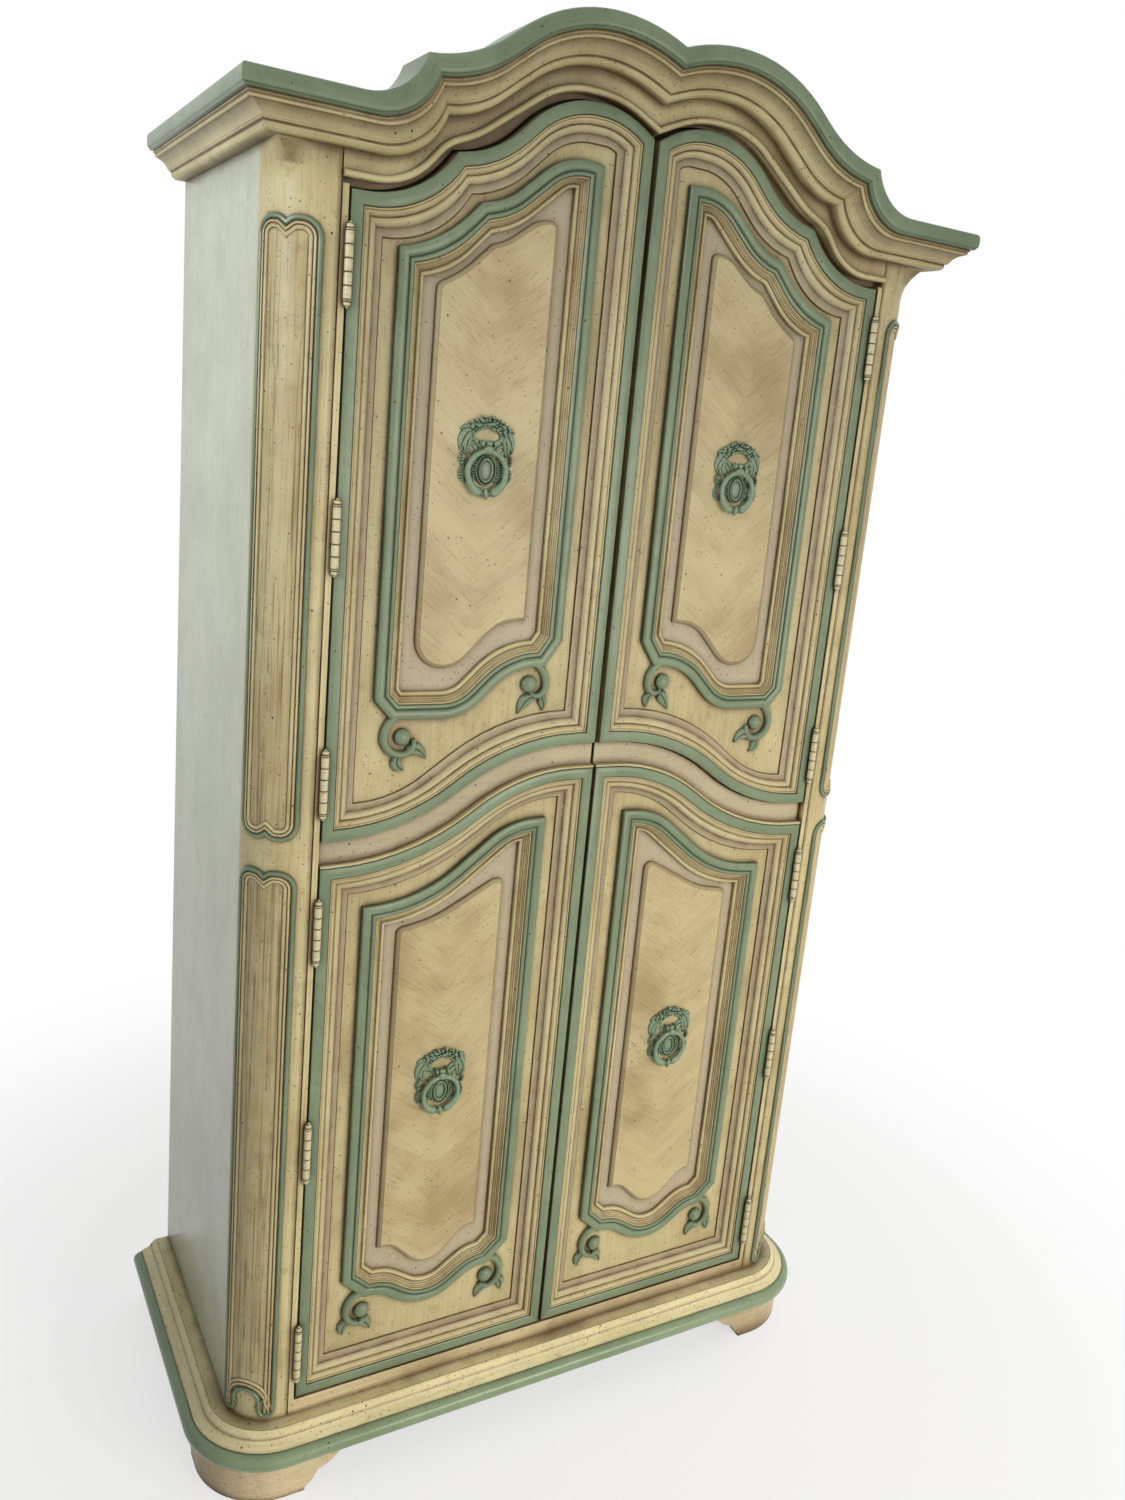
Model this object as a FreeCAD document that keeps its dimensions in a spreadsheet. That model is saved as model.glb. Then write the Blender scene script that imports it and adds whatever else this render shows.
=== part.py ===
import FreeCAD, Part
import Sketcher
import os
import re
from math import cos, radians, sin, sqrt, tan, acos, pi

# A television armoire: a carcass with rounded front corners on bracket feet, two pairs of
# camel-topped doors with raised panels, and a crown whose outline follows the doors.
# X runs across the front, Y from front to back, Z up. The origin is on the floor under the
# middle of the box that holds the whole piece. Sizes are in millimetres.

doc = FreeCAD.newDocument("tv_armoire")
sheet = doc.addObject("Spreadsheet::Sheet", "Sizes")

SIZES = {
    # carcass
    "body_width": 1027,
    "body_depth": 498,
    "corner_radius": 73,
    "wall": 20,
    "back_thick": 6,
    # base, from the floor up
    "foot_height": 64,
    "foot_reach": 40,
    "foot_wall": 24,
    "foot_length": 140,
    "foot_ogee": 54,
    "nose_thick": 28,
    "nose_reach": 59,
    "base_reach": 45,
    "slope_rise": 19,
    "ledge_reach": 21,
    "rail_rise": 25,
    "rail_thick": 20,
    # doors
    "door_thick": 38,
    "door_floor_gap": 3,
    "lower_rise": 904.5,
    "upper_rise": 837.5,
    "seam_gap": 15,
    "lip_height": 20,
    "lip_thick": 13,
    "hinge_gap": 3,
    "head_gap": 4,
    "upper_meeting_gap": 8,
    "lower_meeting_gap": 5,
    "arris": 2,
    "seam_bead": 4.5,
    "rim_width": 19,
    "slope_width": 30,
    "field_depth": 20,
    "bolection_depth": 10.5,
    "bolection_width": 21,
    "cove_width": 17,
    "channel_depth": 27.5,
    "panel_thick": 8.5,
    "scroll_radius": 21,
    "scroll_sink": 2,
    "eye_radius": 11,
    "eye_proud": 2,
    "panel_play": 0.5,
    "bolection_cover": 10.5,
    # posts beside the doors
    "stave_flat": 8,
    "stile_show": 8,
    "stave_thick": 30,
    "post_depth": 30,
    "block_drop": 31,
    # rail behind the seam, deck, shelves
    "stop_gap": 3,
    "mid_rail_thick": 20,
    "mid_rail_above": 6,
    "mid_rail_below": 84,
    "head_rail_thick": 20,
    "head_rail_below": 25,
    "floor_thick": 20,
    "deck_thick": 22,
    "deck_drop": 3.5,
    "shelf_thick": 20,
    "upper_shelf_rise": 600,
    "lower_shelf_rise": 430,
    "shelf_play": 1.5,
    "shelf_depth": 400,
    "shelf_pin_radius": 3,
    "shelf_pin_length": 22,
    "shelf_pin_hole": 10,
    "shelf_pin_inset": 60,
    "cord_slot": 60,
    "cord_sill": 10,
    # frieze and crown
    "frieze_rise": 42,
    "crown_drop": 58,
    "cap_thick": 24,
    "top_thick": 18,
    "frieze_front": 18,
    "frieze_back": 20,
    "bead_reach": 6,
    "bead_height": 9,
    "crest_rise": 140,
    # hinges
    "barrel_radius": 5.2,
    "barrel_length": 80,
    "knuckle_gap": 0.3,
    "pin_radius": 2.5,
    "pin_play": 0.05,
    "finial_radius": 4,
    "finial_collar": 3,
    "leaf_thick": 1.2,
    "leaf_width": 30,
    "leaf_relief": 0.6,
    "hinge_from_head": 89,
    "hinge_above_seam": 84.5,
    "hinge_below_seam": 131.5,
    "hinge_from_floor": 83,
    # pulls
    "pull_above_seam": 551,
    "pull_above_floor": 511.5,
    "pull_plate_thick": 2.5,
    "pull_ring_radius": 30,
    "pull_wire_radius": 4.2,
    "pull_drop": 8.5,
    "pull_stand_off": 6.5,
    "pull_pin_radius": 2.5,
    "pull_pin_play": 0.1,
    "pull_knuckle": 12,
    "pull_knuckle_radius": 4.5,
    "pull_ear": 5,
    "pull_ear_gap": 0.3,
    "rosette_width": 34,
    "rosette_height": 38,
    "rosette_proud": 5,
    # magnets in the rails and strikes on the doors
    "magnet_radius": 7,
    "magnet_length": 12,
    "magnet_play": 0.1,
    "magnet_from_centre": 60,
    "magnet_above_head": 60,
    "magnet_above_seam": 40,
    "strike_radius": 9,
    "strike_thick": 1.5,
}

# Heights and lines that follow from the sizes above.
DERIVED = {
    "face_y": "(nose_reach - body_depth) / 2",
    "back_y": "face_y + body_depth",
    "half_body": "body_width / 2",
    "inner_half": "half_body - wall",
    "pilaster_x": "half_body - corner_radius - stave_flat",
    "post_x": "pilaster_x - stile_show",
    "half_bay": "post_x - hinge_gap",
    "plinth_z": "foot_height + nose_thick",
    "ledge_z": "plinth_z + slope_rise",
    "rail_z": "ledge_z + rail_rise",
    "door_z": "rail_z + door_floor_gap",
    "seam_z": "door_z + lower_rise",
    "head_z": "seam_z + upper_rise",
    "crown_z": "head_z + frieze_rise",
    "shoulder_z": "crown_z + crown_drop",
    "cap_z": "shoulder_z - cap_thick",
    "top_z": "cap_z - top_thick",
    "block_z": "crown_z - block_drop",
    "floor_z": "ledge_z + floor_thick",
    "deck_z": "seam_z - deck_drop",
    "upper_shelf_z": "deck_z + upper_shelf_rise",
    "lower_shelf_z": "floor_z + lower_shelf_rise",
    "stop_y": "face_y + door_thick + stop_gap",
    "inner_back_y": "back_y - back_thick",
    "side_front_y": "face_y + corner_radius",
    "hinge_x": "half_bay + hinge_gap / 2",
    "hinge_y": "face_y - barrel_radius",
}


def fill_sheet():
    row = 1
    for alias, value in {**SIZES, **DERIVED}.items():
        sheet.set("A%d" % row, alias)
        sheet.set("B%d" % row, "=" + value if isinstance(value, str) else str(value))
        sheet.setAlias("B%d" % row, alias)
        row += 1
    doc.recompute()


fill_sheet()


def size(alias):
    return float(sheet.get(alias))


def bound(text):
    return re.sub(r"[a-z][a-z_]*", lambda word: "Sizes." + word.group(), str(text))


# ---------------------------------------------------------------- plain boards

pieces = []


def board(label, corner, span):
    box = doc.addObject("Part::Box", label)
    box.Label = label
    pieces.append(box)
    for prop, text in zip(("Length", "Width", "Height"), span):
        box.setExpression(prop, bound(text))
    for axis, text in zip("xyz", corner):
        box.setExpression("Placement.Base." + axis, bound(text))
    return box


def plane_of(body, role):
    return next(item for item in body.Origin.OriginFeatures if item.Role == role)


def new_sketch(body, role, offset=None):
    sketch = body.newObject("Sketcher::SketchObject", body.Name + "_sketch")
    sketch.AttachmentSupport = [(plane_of(body, role), "")]
    sketch.MapMode = "FlatFace"
    if offset is not None:
        sketch.setExpression("AttachmentOffset.Base.z", bound(offset))
    return sketch


def pin_point(sketch, geometry, end, across, up):
    for kind, text in (("DistanceX", across), ("DistanceY", up)):
        index = sketch.addConstraint(Sketcher.Constraint(kind, -1, 1, geometry, end, 1.0))
        sketch.setExpression("Constraints[%d]" % index, bound(text))


def closed_profile(sketch, corners):
    """Draw straight sides whose corners sit at the given pairs of expressions."""
    ring = [FreeCAD.Vector(cos(2 * pi * i / len(corners)), sin(2 * pi * i / len(corners)), 0)
            for i in range(len(corners))]
    for i, start in enumerate(ring):
        sketch.addGeometry(Part.LineSegment(start, ring[(i + 1) % len(ring)]), False)
    for i, (across, up) in enumerate(corners):
        following = (i + 1) % len(corners)
        sketch.addConstraint(Sketcher.Constraint("Coincident", i, 2, following, 1))
        pin_point(sketch, i, 1, across, up)


def new_body(label):
    body = doc.addObject("PartDesign::Body", label)
    body.Label = label
    pieces.append(body)
    return body


def pad(body, sketch, length):
    feature = body.newObject("PartDesign::Pad", body.Name + "_pad")
    feature.Profile = sketch
    feature.setExpression("Length", bound(length))
    sketch.Visibility = False
    return feature


def padded_board(label, role, corners, start, length):
    body = new_body(label)
    sketch = new_sketch(body, role, start)
    closed_profile(sketch, corners)
    pad(body, sketch, length)
    return body


# ---------------------------------------------------------------- curved outlines
# An outline is a list of corners (x, z, radius): straight lines between the corners, and an
# arc of that radius at each. A radius of 0 leaves the corner sharp.

def unit(a, b):
    run = sqrt((b[0] - a[0]) ** 2 + (b[1] - a[1]) ** 2)
    return (b[0] - a[0]) / run, (b[1] - a[1]) / run, run


def turn_at(before, corner, after):
    back = unit(corner, before)
    ahead = unit(corner, after)
    dot = max(-1.0, min(1.0, back[0] * ahead[0] + back[1] * ahead[1]))
    return pi - acos(dot)


def tangent_lengths(outline, closed):
    """How far each arc reaches along its two sides, held within the length of those sides."""
    count = len(outline)
    reach = []
    for i, corner in enumerate(outline):
        inner = closed or 0 < i < count - 1
        if inner and corner[2] > 0:
            turn = turn_at(outline[i - 1], corner, outline[(i + 1) % count])
            reach.append(corner[2] * tan(turn / 2))
        else:
            reach.append(0.0)
    share = [1.0] * count
    for i in range(count if closed else count - 1):
        j = (i + 1) % count
        room = unit(outline[i], outline[j])[2] * 0.999
        if reach[i] + reach[j] > room:
            share[i] = min(share[i], room / (reach[i] + reach[j]))
            share[j] = min(share[j], room / (reach[i] + reach[j]))
    return [a * b for a, b in zip(reach, share)]


def outline_wire(outline, y, closed=True):
    count = len(outline)
    reach = tangent_lengths(outline, closed)
    edges = []
    last = None
    for i in range(count + 1 if closed else count):
        k = i % count
        x, z, radius = outline[k]
        if reach[k] > 0:
            back = unit(outline[k], outline[k - 1])
            ahead = unit(outline[k], outline[(k + 1) % count])
            turn = turn_at(outline[k - 1], outline[k], outline[(k + 1) % count])
            start = FreeCAD.Vector(x + back[0] * reach[k], y, z + back[1] * reach[k])
            end = FreeCAD.Vector(x + ahead[0] * reach[k], y, z + ahead[1] * reach[k])
            half = unit((0, 0), (back[0] + ahead[0], back[1] + ahead[1]))
            drop = reach[k] / tan(turn / 2) * (1 / cos(turn / 2) - 1)
            middle = FreeCAD.Vector(x + half[0] * drop, y, z + half[1] * drop)
        else:
            start = end = FreeCAD.Vector(x, y, z)
        if last is not None:
            edges.append(Part.LineSegment(last, start).toShape())
        if reach[k] > 0 and i < count:
            edges.append(Part.Arc(start, middle, end).toShape())
        last = end
    return Part.Wire(edges)


def inset(outline, distance, closed=True):
    """Move every side to its left by the distance; mitred corners, arcs stay concentric."""
    count = len(outline)
    moved = []
    for i, (x, z, radius) in enumerate(outline):
        before = outline[i - 1] if closed or i > 0 else None
        after = outline[(i + 1) % count] if closed or i < count - 1 else None
        if before is None or after is None:
            a, b = (outline[i], after) if before is None else (before, outline[i])
            dx, dz, run = unit(a, b)
            moved.append((x - dz * distance, z + dx * distance, radius))
            continue
        ax, az, run = unit(before, outline[i])
        bx, bz, run = unit(outline[i], after)
        bulge = 1 + ax * bx + az * bz
        bend = ax * bz - az * bx
        mx = x - (az + bz) / bulge * distance
        mz = z + (ax + bx) / bulge * distance
        if radius > 0:
            radius = max(0.5, radius - distance if bend > 0 else radius + distance)
        moved.append((mx, mz, radius))
    return moved


def shifted(outline, dx, dz):
    return [(x + dx, z + dz, radius) for x, z, radius in outline]


def prism(outline, y_from, y_to):
    face = Part.Face(outline_wire(outline, y_from))
    return face.extrude(FreeCAD.Vector(0, y_to - y_from, 0))


def stepped_loft(sections):
    """A solid whose straight-sided skin joins outlines given as (outline, y)."""
    wires = [outline_wire(outline, y) for outline, y in sections]
    return Part.makeLoft(wires, True, True)


def shaped(label, shape):
    feature = doc.addObject("Part::Feature", label)
    feature.Label = label
    feature.Shape = shape
    feature.Placement = FreeCAD.Placement()
    pieces.append(feature)
    return feature


FACE = size("face_y")
BACK = size("back_y")
HALF_BODY = size("half_body")
HALF_BAY = size("half_bay")
SEAM = size("seam_z")
HEAD = size("head_z")
DOOR = size("door_z")

# The curves below are drawn in units, so many of them to half the door bay.
UNIT_COUNT = 421.5
UNIT = HALF_BAY / UNIT_COUNT


def drawn(base, corners):
    """Corners (x, height over the base, radius), drawn in units, at their real place."""
    return [(x * UNIT, base + z * UNIT, radius * UNIT) for x, z, radius in corners]


# ---------------------------------------------------------------- feet and base

def footprint_wire(reach, z):
    """The carcass plan grown by reach: square at the back, round at the front corners."""
    half = HALF_BODY + reach
    radius = size("corner_radius") + reach
    front = FACE - reach
    slant = radius * (1 - cos(radians(45)))

    def at(x, y):
        return FreeCAD.Vector(x, y, z)

    return Part.Wire([
        Part.LineSegment(at(-half, BACK), at(-half, front + radius)).toShape(),
        Part.Arc(at(-half, front + radius), at(-half + slant, front + slant),
                 at(-half + radius, front)).toShape(),
        Part.LineSegment(at(-half + radius, front), at(half - radius, front)).toShape(),
        Part.Arc(at(half - radius, front), at(half - slant, front + slant),
                 at(half, front + radius)).toShape(),
        Part.LineSegment(at(half, front + radius), at(half, BACK)).toShape(),
        Part.LineSegment(at(half, BACK), at(-half, BACK)).toShape()])


def footprint_solid(sections):
    return Part.makeLoft([footprint_wire(reach, z) for reach, z in sections], True, True)


def build_base():
    nose = size("nose_thick") / 2
    middle = size("foot_height") + nose
    rounds = []
    for angle in (-90, -60, -30, 0, 30, 60, 90):
        reach = size("nose_reach") - nose + nose * cos(radians(angle))
        rounds.append((reach, middle + nose * sin(radians(angle))))
    shaped("base_nosing", footprint_solid(rounds))
    plinth = size("plinth_z")
    ledge = size("ledge_z")
    slope = footprint_solid([(size("base_reach"), plinth), (size("ledge_reach"), ledge)])
    inside = footprint_solid([(0, plinth), (0, ledge)])
    shaped("base_moulding", slope.cut(inside))


def ogee_cutter(across, length):
    """The air inside a bracket foot: along the front or the side, from one foot onward."""
    top = size("foot_height")
    ogee = size("foot_ogee")
    rise = [(0, 0, 0), (0, 6, 4), (0.18, 13, 6), (0.37, 30, 0), (0.72, 38, 14), (1, 0.82 * top, 8),
            (1, top, 0)]
    profile = [(length + share * ogee, z, radius) for share, z, radius in rise]
    profile += [(length + across, top, 0), (length + across, 0, 0)]
    return list(reversed(profile))


def build_feet():
    top = size("foot_height")
    reach = size("foot_reach")
    outer = HALF_BODY + reach
    length = size("foot_length")
    ring = footprint_solid([(reach, 0), (reach, top)])
    ring = ring.cut(footprint_solid([(reach - size("foot_wall"), 0), (reach - size("foot_wall"), top)]))
    back_wall = Part.makeBox(2 * outer, size("foot_wall"), top,
                             FreeCAD.Vector(-outer, BACK - size("foot_wall"), 0))
    side_run = BACK - (FACE - reach)
    front_air = prism(shifted(ogee_cutter(outer - length, length), -outer, 0), FACE - reach, BACK)
    side_air = prism(ogee_cutter(side_run / 2 - length, length), 0, 2 * outer)
    axis = FreeCAD.Vector(0, 0, 1)
    back_air = side_air.mirror(FreeCAD.Vector(), FreeCAD.Vector(1, 0, 0))
    for air, start in ((side_air, FACE - reach), (back_air, BACK)):
        air.rotate(FreeCAD.Vector(), axis, 90)
        air.translate(FreeCAD.Vector(outer, start, 0))
    quarter = Part.makeBox(outer, side_run, top, FreeCAD.Vector(-outer, FACE - reach, 0))
    front_zone = Part.makeBox(outer, side_run / 2, top, FreeCAD.Vector(-outer, FACE - reach, 0))
    front = ring.common(front_zone).cut(front_air).cut(side_air)
    rear = ring.fuse(back_wall).removeSplitter().common(quarter.cut(front_zone))
    rear = rear.cut(front_air).cut(back_air)
    for name, foot in (("front", front), ("back", rear)):
        shaped(name + "_foot_left", foot)
        shaped(name + "_foot_right", foot.mirror(FreeCAD.Vector(), FreeCAD.Vector(1, 0, 0)))


build_base()
build_feet()


# ---------------------------------------------------------------- carcass

def build_side(hand, sign):
    """A side board with blind holes for the pins of both shelves."""
    outer = sign + "half_body"
    inner = sign + "inner_half"
    body = new_body("side_panel_" + hand)
    sketch = new_sketch(body, "XY_Plane", "plinth_z")
    corners = [(outer, "side_front_y"), (inner, "side_front_y"), (inner, "back_y"), (outer, "back_y")]
    closed_profile(sketch, corners if sign == "-" else list(reversed(corners)))
    pad(body, sketch, "top_z - plinth_z")
    doc.recompute()
    solid_volume = body.Shape.Volume
    holes = new_sketch(body, "YZ_Plane", inner)
    for rise in ("upper_shelf_z", "lower_shelf_z"):
        for along in ("side_front_y + shelf_pin_inset", "side_front_y + shelf_depth - shelf_pin_inset"):
            hole = holes.addGeometry(Part.Circle(FreeCAD.Vector(), FreeCAD.Vector(0, 0, 1), 5), False)
            radius = holes.addConstraint(Sketcher.Constraint("Radius", hole, 5.0))
            holes.setExpression("Constraints[%d]" % radius, bound("shelf_pin_radius"))
            pin_point(holes, hole, 3, along, rise + " - shelf_thick - shelf_pin_radius")
    pocket = body.newObject("PartDesign::Pocket", body.Name + "_pin_holes")
    pocket.Profile = holes
    pocket.setExpression("Length", bound("shelf_pin_hole"))
    pocket.Reversed = sign == ""
    holes.Visibility = False
    doc.recompute()
    drilled = solid_volume - body.Shape.Volume
    expected = 4 * pi * size("shelf_pin_radius") ** 2 * size("shelf_pin_hole")
    assert abs(drilled - expected) < 1, "shelf pin holes missed the side board"


def build_shelf_pins():
    """Eight round pins, two at each end of both shelves, half in the side boards."""
    length = size("shelf_pin_length")
    radius = size("shelf_pin_radius")
    start = size("inner_half") - length + size("shelf_pin_hole")
    front = size("side_front_y")
    pins = []
    for shelf in ("upper_shelf_z", "lower_shelf_z"):
        z = size(shelf) - size("shelf_thick") - radius
        for y in (front + size("shelf_pin_inset"), front + size("shelf_depth") - size("shelf_pin_inset")):
            for side in (-1, 1):
                pins.append(Part.makeCylinder(radius, length, FreeCAD.Vector(side * start, y, z),
                                              FreeCAD.Vector(side, 0, 0)))
    shaped("shelf_pins", Part.Compound(pins))


def tongued_board(label, front_half, front_y, rear_half, rear_y, top, thick):
    """A horizontal board, narrower at the front where it passes between the posts."""
    corners = [("-" + front_half, front_y), (front_half, front_y), (front_half, "side_front_y"),
               (rear_half, "side_front_y"), (rear_half, rear_y), ("-" + rear_half, rear_y),
               ("-" + rear_half, "side_front_y"), ("-" + front_half, "side_front_y")]
    return padded_board(label, "XY_Plane", corners, "%s - %s" % (top, thick), thick)


def build_boards():
    tongued_board("floor_panel", "post_x", "face_y + rail_thick", "inner_half", "inner_back_y",
                  "floor_z", "floor_thick")
    tongued_board("fixed_deck", "post_x", "stop_y + mid_rail_thick", "inner_half", "inner_back_y",
                  "deck_z", "deck_thick")
    tongued_board("top_panel", "pilaster_x", "stop_y + head_rail_thick", "half_body",
                  "inner_back_y", "cap_z", "top_thick")
    board("bottom_rail", ("-post_x", "face_y", "plinth_z"), ("2 * post_x", "rail_thick", "rail_z - plinth_z"))
    for name, top in (("upper_shelf", "upper_shelf_z"), ("lower_shelf", "lower_shelf_z")):
        board(name, ("shelf_play - inner_half", "side_front_y", top + " - shelf_thick"),
              ("2 * (inner_half - shelf_play)", "shelf_depth", "shelf_thick"))
    lower = board("back_lower", ("-inner_half", "inner_back_y", "plinth_z"),
                  ("2 * inner_half", "back_thick", "deck_z + cord_sill - plinth_z"))
    upper = board("back_upper", ("-inner_half", "inner_back_y", "deck_z + cord_sill + cord_slot"),
                  ("2 * inner_half", "back_thick", "cap_z - deck_z - cord_sill - cord_slot"))
    backs = doc.addObject("Part::Compound", "back_panels")
    backs.Label = "back_panels"
    backs.Links = [lower, upper]
    pieces.remove(lower)
    pieces.remove(upper)
    pieces.append(backs)


def build_posts():
    """Hinge posts: a narrow edge shows beside the door and the body stands behind the stave."""
    for hand, sign in (("left", "-"), ("right", "")):
        show = sign + "pilaster_x"
        edge = sign + "post_x"
        back = sign + "(pilaster_x + stave_flat)"
        step = "face_y + stave_thick"
        corners = [(edge, "face_y"), (show, "face_y"), (show, step), (back, step),
                   (back, step + " + post_depth"), (edge, step + " + post_depth")]
        if sign == "-":
            corners.reverse()
        padded_board("hinge_post_" + hand, "XY_Plane", corners, "plinth_z",
                     "head_z + head_gap - plinth_z")


def build_pilasters():
    """Quarter-round staves, hollow behind, that turn square under the crown."""
    radius = size("corner_radius")
    inner = radius - size("stave_thick")
    left = size("pilaster_x")
    centre_x = HALF_BODY - radius
    centre_y = FACE + radius
    low = size("plinth_z")
    high = size("block_z")

    def arc(bow, turned):
        ends = [FreeCAD.Vector(centre_x + bow * sin(radians(a)), centre_y - bow * cos(radians(a)), low)
                for a in (0, 45, 90)]
        if turned:
            ends.reverse()
        return Part.Arc(*ends).toShape()

    def line(*pair):
        return Part.LineSegment(*[FreeCAD.Vector(x, y, low) for x, y in pair]).toShape()

    back = centre_y - inner
    section = Part.Wire([
        line((left, FACE), (centre_x, FACE)), arc(radius, False),
        line((HALF_BODY, centre_y), (centre_x + inner, centre_y)), arc(inner, True),
        line((centre_x, back), (left, back)), line((left, back), (left, FACE))])
    stave = Part.Face(section).extrude(FreeCAD.Vector(0, 0, high - low))
    block = Part.makeBox(HALF_BODY - left, radius, size("cap_z") - high,
                         FreeCAD.Vector(left, FACE, high))
    pilaster = stave.fuse(block)
    shaped("pilaster_right", pilaster)
    shaped("pilaster_left", pilaster.mirror(FreeCAD.Vector(), FreeCAD.Vector(1, 0, 0)))


for hand, sign in (("left", "-"), ("right", "")):
    build_side(hand, sign)
build_shelf_pins()
build_boards()
build_posts()
build_pilasters()


# ---------------------------------------------------------------- curves of the front
# Right-hand curves, x from the middle outward. Corners near the hinge are measured from the
# edge of the door bay, corners near the middle from the centre line.

def ended(curve, end):
    """The curve with its last corner moved along to the given x."""
    return curve[:-1] + [(end, curve[-1][1], 0)]


def seam_curve(end):
    """The line between the upper and lower doors, at the bottom of the upper door."""
    return ended(drawn(SEAM, [(421.5, 0, 0), (302.5, 0, 305), (136.5, 124, 305), (0, 124, 0)]), end)


def head_curve(end):
    """The top of the upper door: low shoulder, cusp, ramp and hump."""
    return ended(drawn(HEAD, [(421.5, 0, 0), (328.5, 0, 142), (286.5, 66, 0), (234.5, 75, 144),
                              (146.5, 163, 146), (44.5, 163, 146), (0, 134, 0)]), end)


def bead_curve():
    """Lower edge of the frieze bead, from the post to the centre line."""
    curve = drawn(HEAD, [(432.5, 11, 0), (349.5, 11, 95), (300.5, 69, 60), (260.5, 86, 150),
                         (148.5, 169, 120), (61.5, 170, 150), (0, 141, 0)])
    return [(size("pilaster_x"), curve[0][1], 0)] + curve[1:]


def crest_curve(end):
    """Top edge of the crown, from the end of the shoulder to the notch in the middle."""
    shoulder = size("shoulder_z")
    notch = shoulder + size("crest_rise")
    hollow = drawn(shoulder, [(370, 0, 82)])
    hump = drawn(notch, [(352, -84, 0), (293.5, -78, 190), (173.6, 18.5, 220), (46.6, 18.5, 263),
                         (0, 0, 0)])
    return [(end, shoulder, 0)] + hollow + hump


def across(curve):
    """Both halves of a front curve, left to right."""
    left = [(-x, z, radius) for x, z, radius in curve]
    return left + list(reversed(curve))[1:]


def between(upper, lower):
    """Closed outline with a left-to-right curve above and another below."""
    return list(lower) + list(reversed(upper))


def build_frieze():
    """The arched board over the doors, rebated behind so that the doors close against it."""
    half = size("pilaster_x")
    crest = across(crest_curve(half))
    lower = across(bead_curve())
    front = size("frieze_front")
    rear = front + size("frieze_back")
    shield = prism(between(crest, lower), FACE, FACE + front)
    bead = prism(between(inset(lower, size("bead_height"), False), lower), FACE - size("bead_reach"), FACE)
    gap = size("head_gap")
    head = inset(across(head_curve(0)), gap, False)
    head = [(-half, HEAD + gap, 0)] + head[1:-1] + [(half, HEAD + gap, 0)]
    rebate = prism(between(crest, head), FACE + front, FACE + rear)
    shaped("frieze_board", shield.fuse(bead).fuse(rebate))


# Crown and cap profiles: (reach in front of the face, top, bottom), both below the crest edge.
CAP_PROFILE = [(0, 0, 24), (50, 0, 24), (53.5, 3, 22), (55, 10, 17)]
CROWN_PROFILE = [(0, 24, 58), (12.5, 24, 58), (17.5, 24, 55.5), (20, 24, 53), (21.5, 24, 50),
                 (23.5, 24, 49), (29, 24, 42), (38, 24, 33), (42, 24, 31), (44.5, 24, 28),
                 (46, 24, 24.5)]


def front_run(profile):
    sections = []
    for reach, top, bottom in profile:
        crest = across(crest_curve(HALF_BODY + reach))
        sections.append((between(inset(crest, -top, False), inset(crest, -bottom, False)), FACE - reach))
    return stepped_loft(sections)


def side_run(profile, inward):
    """The same profile along the left side, mitred at the front corner."""
    shoulder = size("shoulder_z")
    wires = []
    for reach, top, bottom in [(-inward, profile[0][1], profile[0][2])] + profile:
        x = -HALF_BODY - reach
        mitre = FACE - max(reach, 0)
        ring = [(mitre, shoulder - bottom), (BACK, shoulder - bottom), (BACK, shoulder - top),
                (mitre, shoulder - top)]
        wires.append(Part.makePolygon([FreeCAD.Vector(x, y, z) for y, z in ring + ring[:1]]))
    return Part.makeLoft(wires[0 if inward else 1:], True, True)


def build_crown():
    shaped("crest_cap_front", front_run(CAP_PROFILE))
    shaped("crown_front", front_run(CROWN_PROFILE))
    for name, profile, inward in (("crest_cap", CAP_PROFILE, HALF_BODY - size("pilaster_x")),
                                  ("crown", CROWN_PROFILE, 0)):
        left = side_run(profile, inward)
        shaped(name + "_left", left)
        shaped(name + "_right", left.mirror(FreeCAD.Vector(), FreeCAD.Vector(1, 0, 0)))


def build_mid_rail():
    """The rail behind the seam: stops both pairs of doors and carries the front of the deck."""
    end = size("post_x")
    above = size("mid_rail_above")
    curve = inset(across(seam_curve(0)), above, False)
    curve = [(-end, SEAM + above, 0)] + curve[1:-1] + [(end, SEAM + above, 0)]
    low = SEAM - size("mid_rail_below")
    bottom = [(-end, low, 0), (end, low, 0)]
    start = size("stop_y")
    rail = prism(between(curve, bottom), start, start + size("mid_rail_thick"))
    shaped("mid_rail", rail.cut(magnet_holes("lower")))


def build_head_rail():
    """The arched rail behind the upper doors, as high as the crown needs to close the top."""
    end = size("post_x")
    start = size("stop_y")
    crest = inset(across(crest_curve(end)), -size("cap_thick"), False)
    low = HEAD - size("head_rail_below")
    rail = prism(between(crest, [(-end, low, 0), (end, low, 0)]), start, start + size("head_rail_thick"))
    shaped("head_rail", rail.cut(magnet_holes("upper")))


def magnet_height(level):
    if level == "upper":
        return HEAD + size("magnet_above_head")
    return SEAM + size("magnet_above_seam")


def magnets(level, radius):
    rods = []
    for side in (-1, 1):
        at = FreeCAD.Vector(side * size("magnet_from_centre"), size("stop_y"), magnet_height(level))
        rods.append(Part.makeCylinder(radius, size("magnet_length"), at, FreeCAD.Vector(0, 1, 0)))
    return rods


def magnet_holes(level):
    return Part.Compound(magnets(level, size("magnet_radius") + size("magnet_play")))


build_frieze()
build_crown()
build_mid_rail()
build_head_rail()
shaped("door_magnets", Part.Compound(magnets("upper", size("magnet_radius"))
                                     + magnets("lower", size("magnet_radius"))))


# ---------------------------------------------------------------- doors
# Each door is drawn for the right hand and mirrored for the left. Depths count back from the
# face of the door.

MIDDLE = HALF_BAY / 2
RIM = SEAM - size("seam_gap") - size("lip_height") - size("seam_bead")


def upper_outline(end):
    return list(reversed(seam_curve(end))) + head_curve(end)


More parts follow.
